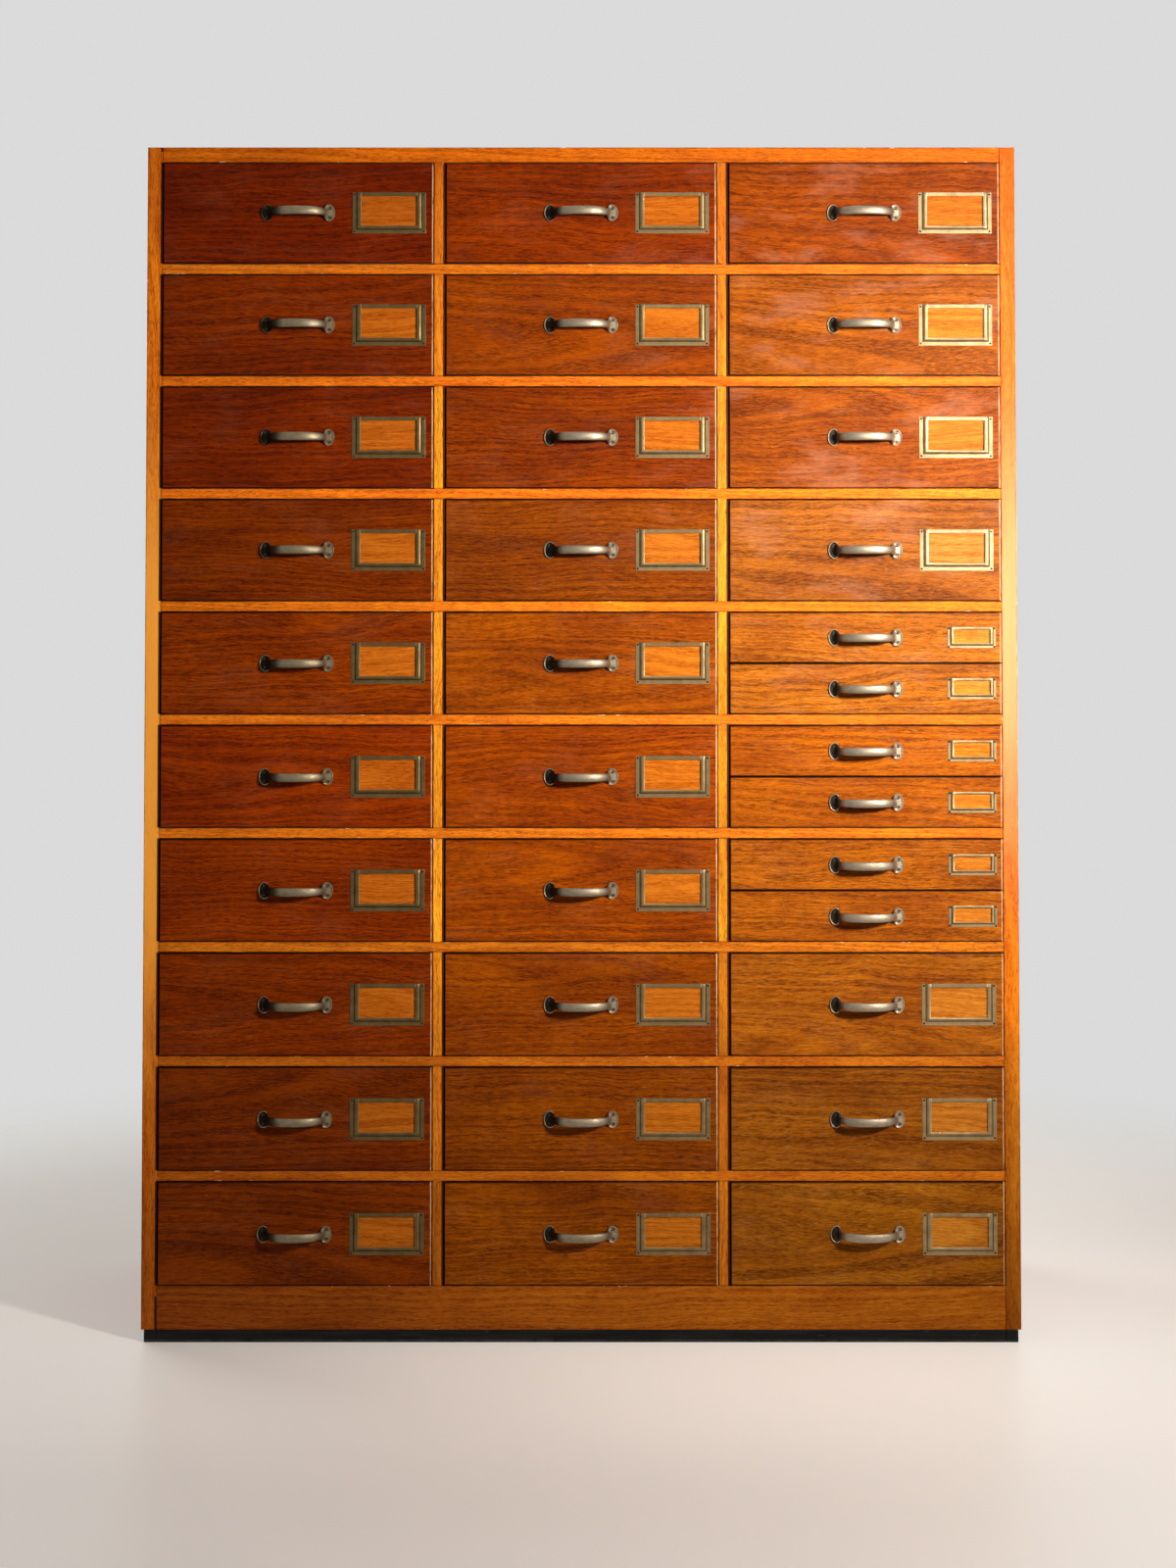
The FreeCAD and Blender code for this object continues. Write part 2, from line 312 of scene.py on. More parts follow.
def chipped_and_shaded_case(finish, colour, wood, spot, rim):
    """Chips along a case board's corners, and a painted shadow: a black line on the edge that the fronts'
    left ends overhang.
    The overhung mark is that edge's place, and what turns a height into rows: the painted shadow skips the
    rails."""
    chips = ramp(finish, clouds(finish, wood, (60.0, 150.0, 150.0), 2.0, 0.6), 0.66, 0.70)
    chips = times(finish, ramp(finish, rim, 0.0006, 0.0018, 0.8, 0.0), chips)
    colour = blend_colours(finish, chips, colour, bare_chip)
    # Painted shadow of each proud front's left end, on the stile's or muntin's edge beside it.
    overhung = parts(finish, read(finish, "overhung"))
    from_end = sums(finish, "SUBTRACT", overhung[0], spot[0])
    up = sums(finish, "FRACT", sums(finish, "MULTIPLY_ADD", spot[2], overhung[2], overhung[1]))
    beside_front = times(finish, ramp(finish, up, 0.0, 0.01), ramp(finish, up, 0.905, 0.915, 0.95, 0.0))
    line = times(finish, ramp(finish, from_end, -0.0008, 0.0),
                 ramp(finish, from_end, 0.0022, 0.0034, 1.0, 0.0))
    return blend_colours(finish, times(finish, line, beside_front), colour, shadow_black)


def front_shade_and_highlight(finish, colour, place, wood, inside, broken, spot, height):
    """A front's left end and long edges are painted black as shade, its right end is worn pale and given a
    painted highlight, and the varnish is faintly hazy, with a painted sheen on the right-hand fronts higher
    up."""
    along = parts(finish, place)[0]
    length = parts(finish, read(finish, "half_size"))[0]
    from_left = sums(finish, "ADD", length, along)
    from_right = sums(finish, "SUBTRACT", length, along)
    # Painted shade, black along the long edges and the left end.
    edge_shade = sums(finish, "MAXIMUM", ramp(finish, inside[1], 0.0005, 0.0019, 0.9, 0.0),
                ramp(finish, from_left, 0.0004, 0.0014, 0.95, 0.0))
    colour = blend_colours(finish, edge_shade, colour, shadow_black)
    # Painted highlight on the right end, where it is also worn pale, stronger towards the right-hand columns.
    worn_and_highlit = times(finish, ramp(finish, from_right, 0.0008, 0.0021, 1.0, 0.0),
                   ramp(finish, broken, 0.34, 0.54, 0.25, 0.75))
    worn_and_highlit = times(finish, worn_and_highlit, ramp(finish, spot[0], -0.5, 0.4, 0.5, 1.0))
    colour = blend_colours(finish, worn_and_highlit, colour, highlit_end)
    # A faint haze everywhere, and a painted sheen on the right-hand fronts higher up.
    haze_and_sheen = clouds(finish, wood, (11.0, 24.0, 24.0), 4.0, 0.6)
    painted_sheen = times(finish, ramp(finish, spot[0], 0.0, 0.30, 0.0, 0.15), ramp(finish, height, 0.85, 1.15))
    haze_and_sheen = times(finish, ramp(finish, haze_and_sheen, 0.48, 0.72), sums(finish, "ADD", painted_sheen, 0.03))
    return blend_colours(finish, haze_and_sheen, colour, haze_and_sheen_colour)


def patch_behind_card(finish, colour, card_patch, figure, dashes, pore):
    """The wood in a card frame's window, kept pale by the cards. card_patch is its dark and pale colour."""
    behind = parts(finish, read(finish, "behind_card"))
    reach = sums(finish, "MAXIMUM", sums(finish, "ABSOLUTE", behind[0]), sums(finish, "ABSOLUTE", behind[1]))
    patch = blend_colours(finish, figure, *card_patch)
    patch = blend_colours(finish, times(finish, dashes, 0.34), patch, pore)
    patch = tint(finish, patch, read(finish, "stain"), 0.45)
    return blend_colours(finish, ramp(finish, reach, 1.0, 1.06, 0.96, 0.0), colour, patch)


def oak(name, pale, deep, pore, roughness, shine, grime, wear, worn, mottle=1.0,
        card_patch=None, foot=None, stile_highlight=None):
    """Oak under stain and varnish: growth rings, fibres, pores, blotches of stain, worn and grimy edges, and
    where asked, painted shade and light.
    """
    finish, shader = plain_finish(name)
    place = read(finish, "place")
    wood = sawn_place(finish, place)
    rings = growth_rings(finish, wood)
    fibres = ramp(finish, clouds(finish, wood, (52.0, 600.0, 600.0), 4.0, 0.70), 0.36, 0.64)
    dashes = clouds(finish, wood, (105.0, 820.0, 820.0), 3.0, 0.6)
    dashes = ramp(finish, sums(finish, "MULTIPLY_ADD", rings, -0.07, dashes), 0.50, 0.60)
    pores = clouds(finish, wood, (130.0, 1700.0, 1700.0), 1.0)
    pores = ramp(finish, sums(finish, "MULTIPLY_ADD", rings, -0.05, pores), 0.55, 0.66)
    blotches = clouds(finish, wood, (6.0, 17.0, 17.0), 4.0, 0.62)
    flecks = ramp(finish, clouds(finish, wood, (85.0, 1000.0, 1000.0), 2.0, 0.6), 0.55, 0.70)

    figure = sums(finish, "MULTIPLY_ADD", rings, 0.36, times(finish, fibres, 0.64))
    colour = blend_colours(finish, figure, deep, pale)
    for marks, strength, dye in ((dashes, 0.55, pore), (pores, 0.40, pore), (flecks, wear, worn)):
        colour = blend_colours(finish, times(finish, marks, strength), colour, dye)
    blotching = {}
    for channel, (darker, paler) in enumerate(((0.28, 0.26), (0.40, 0.36), (0.45, 0.40))):
        blotching[channel] = ramp(finish, blotches, 0.28, 0.72, 1 - darker * mottle, 1 + paler * mottle)
    colour = tint(finish, colour, add_node(finish, "CombineXYZ", {}, blotching).outputs[0])
    colour = tint(finish, colour, read(finish, "stain"))

    spot = parts(finish, object_place(finish))
    height = sums(finish, "MULTIPLY_ADD", blotches, 0.2, spot[2])
    inside, rim = distance_inside(finish, place)
    broken = clouds(finish, wood, (26.0, 60.0, 60.0), 3.0, 0.7)
    # foot is a painted shade towards the floor, strongest at the left.
    if foot:
        share_at_right = 1.0 if stile_highlight else rails_shaded_at_right
        colour = shaded_foot(finish, colour, foot, spot, height, share_at_right)
    # The stiles' front edges get painted light and a painted highlight.
    if stile_highlight:
        colour = lit_stiles(finish, colour, stile_highlight, spot, height)
    dirt = times(finish, ramp(finish, rim, 0.0, 0.0026, 1.0, 0.0), ramp(finish, broken, 0.38, 0.62))
    colour = blend_colours(finish, times(finish, dirt, grime), colour, pore)
    if foot:
        colour = chipped_and_shaded_case(finish, colour, wood, spot, rim)
    if card_patch:
        colour = front_shade_and_highlight(finish, colour, place, wood, inside, broken, spot, height)
        colour = patch_behind_card(finish, colour, card_patch, figure, dashes, pore)

    uneven = ramp(finish, blotches, 0.3, 0.7, roughness + 0.07, roughness - 0.05)
    relief = sums(finish, "MULTIPLY_ADD", pores, -0.8, fibres)
    join_up(finish, shader, colour, uneven, relief, strength=0.22, depth=0.0004)
    shader.inputs["Specular IOR Level"].default_value = shine
    return finish


def dress(piece, finish, node, body):
    """Gives a piece its finish, sets it on its body, and lets it stand for its node."""
    piece.data.materials.clear()
    piece.data.materials.append(finish)
    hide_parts(node)
    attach(piece, body)


side_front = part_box("left_side_panel")[0].y
row_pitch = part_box("front_rail_1")[1].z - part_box("front_rail_2")[1].z
lowest_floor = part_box("front_rail_9")[1].z - row_pitch
case_colours = ((0.88, 0.245, 0.010, 1), (0.60, 0.115, 0.0025, 1), (0.17, 0.020, 0.001, 1))
case_look = {"roughness": 0.42, "shine": 0.07, "grime": 0.6, "wear": 0.18, "worn": (1.0, 0.40, 0.05, 1),
             "mottle": 0.6}
# Painted shade towards the floor, for the rails and muntins and for the side boards, and painted highlight
# colours for the stiles.
case_foot_shade = (0.42, 0.28, 0.42, 1)
side_foot_shade = (0.50, 0.46, 0.5, 1)
stile_highlight_colours = ((1.0, 0.40, 0.05, 1), (1.0, 0.32, 0.13, 1))
case_oak = oak("case_oak", *case_colours, foot=case_foot_shade, **case_look)
side_oak = oak("side_oak", *case_colours, foot=side_foot_shade, stile_highlight=stile_highlight_colours, **case_look)

for node in ("left_side_panel", "right_side_panel"):
    side_board = wide_board(node.replace("panel", "board"), node, side_planks, upward, sideways)
    # The left board's inner edge takes the painted shadow line beside the fronts.
    if node == "left_side_panel":
        mark(side_board, "overhung", (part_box(node)[1].x, -lowest_floor / row_pitch, 1 / row_pitch))
    dress(side_board, side_oak, node, "case")

# Top board
# Three oak planks glued edge to edge, dropped between the side boards.
# Its front edge is the long narrow rail that closes the face at the top.
top_planks = ((0.0, 0.36), (0.36, 0.7), (0.7, 1.0))
top_stain = (0.78, 0.66, 0.4)
top = wide_board("top", "top_board", top_planks, sideways, upward, top_stain)
dress(top, case_oak, "top_board", "case")

# Base rail and front rails
# Planed oak strips that run through from one side board to the other. The wide one closes the foot
# of the face, and the nine narrow ones carry the drawers' front ends.
row_count = 10
# Tones for the base rail and the front rails by row, with the lamp's light and shade painted into them.
base_tone_and_shade = (0.80, 0.93, 0.9)
rail_tones_and_light = {1: (0.83, 0.79, 0.95), 2: (0.91, 0.81, 0.9), 3: (0.97, 0.86, 0.9), 4: (1.02, 1.01, 1.0),
               5: (0.93, 0.87, 1.0), 6: (0.92, 0.91, 1.0), 7: (0.87, 0.91, 1.0), 8: (0.77, 0.80, 1.0),
               9: (0.96, 1.03, 1.0)}
low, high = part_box("base_front_rail")
base_rail = plank("base_front_rail_oak", low, high, sideways, inward, arris, base_tone_and_shade)
dress(base_rail, case_oak, "base_front_rail", "case")
for row in range(1, row_count):
    node = f"front_rail_{row}"
    low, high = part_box(node)
    rail = plank(node + "_oak", low, high, sideways, upward, arris, rail_tones_and_light[row])
    dress(rail, case_oak, node, "case")

# Muntins
# Short oak uprights, one between each rail and the next, butted against both.
# Two lines of ten part the three columns.
top_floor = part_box("front_rail_1")[1].z
opening_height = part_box("top_board")[0].z - top_floor
case_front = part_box("front_rail_1")[0].y
rail_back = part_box("front_rail_1")[1].y
small_arris = 0.0006
mid_row = (0.5, 0.0)
# Tones for the muntins by row, with the lamp's light and shade painted into them.
muntin_tones_and_light = {
    "left_muntins": ((0.76, 0.72), (0.90, 1.0), (1.1, 1.65), (0.98, 1.3), (1.06, 1.45), (0.98, 1.3),
                     (1.25, 1.8), (1.0, 1.25), (1.12, 1.38), (1.06, 1.32)),
    "right_muntins": ((0.70, 0.68), (0.84, 0.95), (0.82, 1.12), (0.9, 1.35), (0.9, 1.3), (0.88, 1.2),
                      (0.92, 1.28), (0.74, 0.86), (0.84, 0.92), (1.0, 1.2)),
}


def floor_of(row):
    """The height of the floor of a row's openings."""
    return top_floor - (row - 1) * row_pitch


for node, stains in muntin_tones_and_light.items():
    low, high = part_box(node)
    for row, (red, green) in enumerate(stains, 1):
        foot = (low.x, low.y, floor_of(row))
        head = (high.x, high.y, floor_of(row) + opening_height)
        name = f"{node[:-1]}_row{row:02d}"
        muntin = plank(name, foot, head, upward, inward, small_arris, (red, green, green))
        # Each muntin's right edge takes the painted shadow line beside the fronts.
        mark(muntin, "overhung", (high.x, *mid_row))
        dress(muntin, case_oak, node, "case")

# Bottom board and partitions
# Plain oak boards inside the case, left bare: one under the lowest row, and two uprights that stand
# behind the muntins and keep the columns apart.
bare_colours = ((0.66, 0.44, 0.235, 1), (0.50, 0.30, 0.14, 1), (0.24, 0.135, 0.06, 1))
bare_oak = oak("bare_oak", *bare_colours, roughness=0.62, shine=0.15, grime=0.25, wear=0.2,
               worn=(0.72, 0.5, 0.3, 1))
inside_boards = (("bottom_board", sideways, upward), ("left_partition", upward, sideways),
                 ("right_partition", upward, sideways))
for node, along, face in inside_boards:
    low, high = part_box(node)
    board = plank(node + "_oak", low, high, along, face)
    dress(board, bare_oak, node, "case")

# Runners
# Bare oak strips screwed to the walls of each column, level with the front rails.
# The drawers' bottoms slide on them. The split rows have a slim pair higher up for the upper drawer.
runner_width = 0.035
slim_runner_width = 0.012
slim_runner_height = 0.006
rail_height = 0.014
thin_arris = 0.0005
split_rows = (5, 6, 7)
split_height = 0.069125
bottom_gap = 0.0008
gap_between_fronts = 0.0012
split_rise = bottom_gap + split_height + gap_between_fronts
front_proud = 0.0025
front_thickness = 0.020
front_back = case_front - front_proud + front_thickness
gap_behind_front = 0.001
walls = {
    "left": (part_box("front_rail_1")[0].x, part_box("left_partition")[0].x),
    "middle": (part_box("left_partition")[1].x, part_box("right_partition")[0].x),
    "right": (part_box("right_partition")[1].x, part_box("front_rail_1")[1].x),
}


def copy_to(piece, name, shift):
    """A second piece like the first, with a mesh of its own, moved by shift."""
    twin = piece.copy()
    twin.data = piece.data.copy()
    twin.name = name
    twin.data.name = name
    bpy.context.collection.objects.link(twin)
    twin.data.transform(Matrix.Translation(shift))
    return twin


for column, (left, right) in walls.items():
    node = f"runners_{column}"
    low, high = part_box(node)
    strips = []
    for x in (left, right - runner_width):
        start = (x, rail_back, top_floor - rail_height)
        first = plank("runner", start, (x + runner_width, high.y, top_floor), inward, upward)
        strips.append(first)
        for row in range(2, row_count):
            twin = copy_to(first, "runner", (0, 0, -(row - 1) * row_pitch))
            new_board(twin)
            strips.append(twin)
    if column == "right":
        for x in (left, right - slim_runner_width):
            for row in split_rows:
                start = (x, front_back + gap_behind_front, floor_of(row) + split_rise)
                end = (x + slim_runner_width, high.y, start[2] + slim_runner_height)
                strips.append(plank("slim_runner", start, end, inward, upward, thin_arris))
    dress(glue_up(f"runner_strips_{column}", strips), bare_oak, node, "case")

# Drawer stops
# Small oak blocks glued at the back ends of the runners. A closed drawer's sides come up to them.
# Their end grain faces the drawers.
stop_width = 0.012
stop_length = 0.018
stop_height = 0.012
slim_stop_height = 0.008
stop_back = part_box("drawer_stops")[1].y
stop_front = stop_back - stop_length
stops = []
stop_patterns = {}
for height in (stop_height, slim_stop_height):
    corner = (stop_width, stop_back, height)
    stop_patterns[height] = plank("stop", (0, stop_front, 0), corner, inward, upward, small_arris)
for column, (left, right) in walls.items():
    for row in range(1, row_count + 1):
        seats = [(floor_of(row), stop_height)]
        if column == "right" and row in split_rows:
            seats.append((floor_of(row) + split_rise + slim_runner_height, slim_stop_height))
        for seat, height in seats:
            for x in (left, right - stop_width):
                stop = copy_to(stop_patterns[height], "stop", (x, 0, seat))
                new_board(stop)
                stops.append(stop)
for piece in stop_patterns.values():
    bpy.data.objects.remove(piece)
dress(glue_up("stop_blocks", stops), bare_oak, "drawer_stops", "case")

# Back boards
# Three thin upright boards that close the back. They meet on the middle lines of the partitions
# and are left rough and unvarnished, so dust and age have browned them.
rough_arris = 0.0016
back_colours = ((0.46, 0.28, 0.13, 1), (0.33, 0.185, 0.075, 1), (0.07, 0.035, 0.015, 1))
back_oak = oak("back_oak", *back_colours, roughness=0.72, shine=0.12, grime=1.0, wear=0.1,
               worn=(0.5, 0.33, 0.17, 1), mottle=0.75)
low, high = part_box("back_boards")
meetings = [low.x]
for node in ("left_partition", "right_partition"):
    meetings.append((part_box(node)[0].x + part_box(node)[1].x) / 2)
meetings.append(high.x)
for number, (left, right) in enumerate(zip(meetings, meetings[1:]), 1):
    middle = (left + right) / 2
    halves = []
    for near, far in ((left, middle), (middle, right)):
        shade = chance.uniform(0.82, 1.15)
        dusty = (shade, shade * 0.98, shade * 0.94)
        foot, head = (near, low.y, low.z), (far, high.y, high.z)
        halves.append(plank("back_plank", foot, head, upward, inward, rough_arris, dusty))
    dress(glue_up(f"back_board_{number}", halves), back_oak, "back_boards", "case")

# Plinth
# Four softwood boards under the case, painted black and set in a little at both ends.
# The paint is scuffed and streaked, and dusty near the floor.
plinth_arris = 0.0012


def black_paint():
    finish, shader = plain_finish("black_paint")
    place = object_place(finish)
    streaks = clouds(finish, place, (12.0, 40.0, 260.0), 3.0, 0.65)
    scuffs = clouds(finish, place, (38.0, 38.0, 90.0), 4.0, 0.75)
    height = parts(finish, place)[2]
    colour = blend_colours(finish, ramp(finish, streaks, 0.35, 0.7), (0.004, 0.0038, 0.0032, 1),
                           (0.013, 0.012, 0.010, 1))
    worn = times(finish, ramp(finish, scuffs, 0.60, 0.72), 0.5)
    colour = blend_colours(finish, worn, colour, (0.065, 0.055, 0.045, 1))
    dust = times(finish, ramp(finish, height, 0.0, 0.006, 0.35, 0.0), ramp(finish, scuffs, 0.3, 0.6))
    colour = blend_colours(finish, dust, colour, (0.16, 0.14, 0.12, 1))
    roughness = ramp(finish, scuffs, 0.35, 0.65, 0.38, 0.62)
    join_up(finish, shader, colour, roughness, streaks, strength=0.4, depth=0.0006)
    shader.inputs["Specular IOR Level"].default_value = 0.1
    return finish


plinth_paint = black_paint()
plinth_boards = (("plinth_front", sideways, inward), ("plinth_back", sideways, inward),
                 ("plinth_left", inward, sideways), ("plinth_right", inward, sideways))
for node, along, face in plinth_boards:
    low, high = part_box(node)
    board = plank(node + "_board", low, high, along, face, plinth_arris)
    dress(board, plinth_paint, node, "case")

# Drawer fronts
# Each front is a 20 mm oak board, stained red-brown. Its face has rounded corners and stands 2.5 mm
# proud, and it is rebated behind: at both ends for the sides, and below for the bottom.
# Its kind says how it is cut: a large one, or the upper or lower one of a split row.
front_width = 0.373
front_heights = {"large": 0.13945, "upper": split_height, "lower": split_height}
front_lip = 0.008
side_thickness = 0.010
bottom_thickness = 0.006
face_round = 0.0015
running_gap = 0.0003
box_floors = {"large": running_gap - bottom_gap, "upper": slim_runner_height + running_gap,
              "lower": running_gap - bottom_gap}
front_face = case_front - front_proud
lip_back = front_face + front_lip
hair = 1e-5

large_card = {"width": 0.1015, "height": 0.057, "side": 0.012, "bottom": 0.0108, "top": 0.0052,
              "flange": 0.0058, "slope": 0.0021, "margin": 0.010}
small_card = {"width": 0.0665, "height": 0.029, "side": 0.0078, "bottom": 0.0068, "top": 0.0034,
              "flange": 0.0038, "slope": 0.0013, "margin": 0.0075}
card_frames = {"large": large_card, "upper": small_card, "lower": small_card}
patch_inset = 0.001
patch_lift = 0.002

Drawer = namedtuple("Drawer", "name kind middle floor centre row column")


def new_drawer(row, column, part=""):
    """A drawer's name and kind, and where the middle, lower edge and centre of its front are."""
    kind = part or "large"
    left, right = walls[column]
    floor = floor_of(row) + (split_rise if kind == "upper" else bottom_gap)
    name = "_".join((f"row{row:02d}", column, part)).strip("_")
    return Drawer(name, kind, (left + right) / 2, floor, floor + front_heights[kind] / 2, row, column)


drawers = []
for column in walls:
    for row in range(1, row_count + 1):
        split = column == "right" and row in split_rows
        for part in ("upper", "lower") if split else ("",):
            drawers.append(new_drawer(row, column, part))


def fit(piece, finish, drawer):
    """Dresses a piece that slides with its drawer."""
    node = "drawer_" + drawer.name
    dress(piece, finish, node, node)


def card_offset(card):
    """How far the middle of a card frame stands to the right of its front's middle."""
    return front_width / 2 - card["margin"] - card["width"] / 2


def extrude(step):
    bpy.ops.mesh.extrude_region_move(TRANSFORM_OT_translate={"value": step})


def faces_where(piece, test):
    """Selects the faces, in edit mode, whose middle and direction pass the test."""
    bpy.ops.mesh.select_mode(type="FACE")
    mesh = bmesh.from_edit_mesh(piece.data)
    for face in mesh.faces:
        face.select_set(False)
    for face in mesh.faces:
        if test(face.calc_center_median(), face.normal):
            face.select_set(True)
    mesh.select_flush_mode()
    bmesh.update_edit_mesh(piece.data)


def looks_back(middle, normal):
    return normal.y > 0.9


def looks_forward(middle, normal):
    return normal.y < -0.9


def edges_where(piece, test):
    """Selects the edges, in edit mode, both of whose ends pass the test."""
    bpy.ops.mesh.select_mode(type="EDGE")
    mesh = bmesh.from_edit_mesh(piece.data)
    for edge in mesh.edges:
        edge.select_set(False)
    for edge in mesh.edges:
        if all(test(vertex.co) for vertex in edge.verts):
            edge.select_set(True)
    bmesh.update_edit_mesh(piece.data)


def front_board(kind):
    """A front at the origin: its face at front_face, its middle at x 0, its lower edge at z 0."""
    height = front_heights[kind]
    low = (-front_width / 2, front_face, 0)
    high = (front_width / 2, lip_back, height)
    piece = block(f"front_{kind}", low, high)
    faces_where(piece, looks_back)
    bpy.ops.mesh.extrude_region_move()
    rebate = box_floors[kind] + bottom_thickness
    between_sides = 1 - 2 * side_thickness / front_width
    bpy.ops.transform.resize(value=(between_sides, 1, (height - rebate) / height),
                             center_override=(0, lip_back, height / 2))
    bpy.ops.transform.translate(value=(0, 0, rebate / 2))
    extrude((0, front_thickness - front_lip, 0))
    edges_where(piece, lambda end: abs(end.y - front_face) < hair)
    bpy.ops.mesh.bevel(offset=face_round, segments=3, affect="EDGES")
    bpy.ops.object.mode_set(mode="OBJECT")
    keep_flats(piece)
    lay_grain(piece, low, (high[0], front_face + front_thickness, high[2]), sideways, inward)
    card = card_frames[kind]
    patch_x = card_offset(card)
    patch_z = height / 2 + patch_lift
    half_width = card["width"] / 2 - card["flange"] - patch_inset
    half_height = card["height"] / 2 - card["flange"] - patch_inset + patch_lift
    behind = []
    for vertex in piece.data.vertices:
        behind += [(vertex.co.x - patch_x) / half_width, (vertex.co.z - patch_z) / half_height, 0]
    write_points(piece, "behind_card", behind)
    return piece


front_colours = ((0.47, 0.090, 0.002, 1), (0.185, 0.027, 0.0006, 1), (0.055, 0.007, 0.0004, 1))
front_oak = oak("front_oak", *front_colours, roughness=0.38, shine=0.05, grime=0.3, wear=0.42,
                worn=(0.56, 0.175, 0.022, 1), mottle=0.85,
                card_patch=((0.42, 0.090, 0.004, 1), (0.70, 0.205, 0.016, 1)))
front_patterns = {kind: front_board(kind) for kind in front_heights}
# Tones for the fronts by row and by column, with the lamp's light and shade painted in: the left column
# darker, the right one lighter and paler.
row_tones_and_light = {1: (0.67, 0.47, 0.3), 2: (0.83, 0.80, 0.7), 3: (0.76, 0.65, 0.65), 4: (0.76, 0.86, 1.9),
              5: (1.09, 1.27, 1.7), 6: (1.10, 1.05, 0.6), 7: (1.00, 1.03, 0.95), 8: (0.93, 1.03, 1.1),
              9: (0.78, 0.93, 1.1), 10: (0.92, 1.20, 1.25)}
column_light_and_shade = {"left": (0.56, 0.355, 0.03), "middle": (0.74, 0.65, 0.27), "right": (0.95, 1.17, 1.6)}
for drawer in drawers:
    front = copy_to(front_patterns[drawer.kind], drawer.name + "_front", (drawer.middle, 0, drawer.floor))
    new_board(front, [a * b for a, b in zip(row_tones_and_light[drawer.row], column_light_and_shade[drawer.column])])
    fit(front, front_oak, drawer)
for piece in front_patterns.values():
    bpy.data.objects.remove(piece)

# Drawer boxes
# Oak sides nailed to the front's rebated ends, a lower back let in between them, and a thin bottom
# nailed up under all three. They are bare inside the case, paler than anything outside.
side_below_front = 0.006
back_below_side = 0.008
back_thickness = 0.008
gap_at_stop = 0.0003
drawer_end = stop_front - gap_at_stop
box_colours = ((0.70, 0.47, 0.26, 1), (0.54, 0.33, 0.16, 1), (0.27, 0.155, 0.07, 1))
box_oak = oak("drawer_box_oak", *box_colours, roughness=0.6, shine=0.15, grime=0.3, wear=0.2,
              worn=(0.74, 0.52, 0.32, 1))
box_patterns = {}
for kind, height in front_heights.items():
    outer = front_width / 2
    inner = outer - side_thickness
    bottom = box_floors[kind]
    side_floor = bottom + bottom_thickness
    side_top = height - side_below_front
    back_face = drawer_end - back_thickness
    back_top = side_top - back_below_side
    boards = {
        "left_side": ((-outer, lip_back, side_floor), (-inner, drawer_end, side_top), inward, sideways),
        "right_side": ((inner, lip_back, side_floor), (outer, drawer_end, side_top), inward, sideways),
        "back": ((-inner, back_face, side_floor), (inner, drawer_end, back_top), sideways, inward),
        "bottom": ((-outer, lip_back, bottom), (outer, drawer_end, side_floor), sideways, upward,
                   thin_arris),
    }
    box_patterns[kind] = {part: plank(part, *board) for part, board in boards.items()}
for drawer in drawers:
    for part, pattern in box_patterns[drawer.kind].items():
        board = copy_to(pattern, f"{drawer.name}_{part}", (drawer.middle, 0, drawer.floor))
        new_board(board)
        fit(board, box_oak, drawer)
for patterns in box_patterns.values():
    for piece in patterns.values():
        bpy.data.objects.remove(piece)

# Pulls
# Cast bow handles, nickelled once and now worn grey, darker in the hollows, with a painted shadow over each
# left end and painted shade by column. A flattened bow narrows to a neck at each end and opens into a
# half-round plate with a raised rim and two screws.
pull_length = 0.102
plate_width = 0.017
plate_height = 0.0234
plate_thickness = 0.0025
pull_reach = 0.030
neck_inset = 0.0125
bow_height = 0.0124
neck_height = 0.0088
bow_thickness = 0.0048
neck_thickness = 0.0062
foot_height = 0.0215
foot_thickness = 0.0080
foot_sunk = 0.0006
foot_length = 0.0044
foot_end_height = 0.01849
foot_end_thickness = 0.00672
bow_squareness = 2.2
bow_flatness = 7
bow_sides = 10
stations = 14
half_span = pull_length / 2 - neck_inset
plate_sides = 20
plate_rim = 0.0007
plate_hollow = 0.001375
plate_dish = 0.0028
plate_crown = 0.00025
waist_start = 0.1
waist_share = 0.16
waist_spread = 1.6
made_up_for_rounding = 1.02


def bow_place(angle):
    """Middle of the bow at an angle along it, and its height and thickness there."""
    reach = pull_reach - bow_thickness / 2
    power = 2 / bow_squareness
    across, out = -math.cos(angle), math.sin(angle)
    along = math.copysign(abs(across) ** power, across)
    middle = 1 - abs(along) ** bow_flatness
    tall = neck_height + (bow_height - neck_height) * middle
    thick = neck_thickness + (bow_thickness - neck_thickness) * middle
    return Vector((half_span * along, -reach * abs(out) ** power, 0)), tall, thick


def face_front():
    """Turns a new primitive, in edit mode, so that its top faces the front."""
    bpy.ops.transform.rotate(value=math.radians(90), orient_axis="X", center_override=(0, 0, 0))


def close_mesh():
    """Points all the faces outwards and leaves edit mode."""
    bpy.ops.mesh.select_all(action="SELECT")
    bpy.ops.mesh.normals_make_consistent(inside=False)
    bpy.ops.object.mode_set(mode="OBJECT")


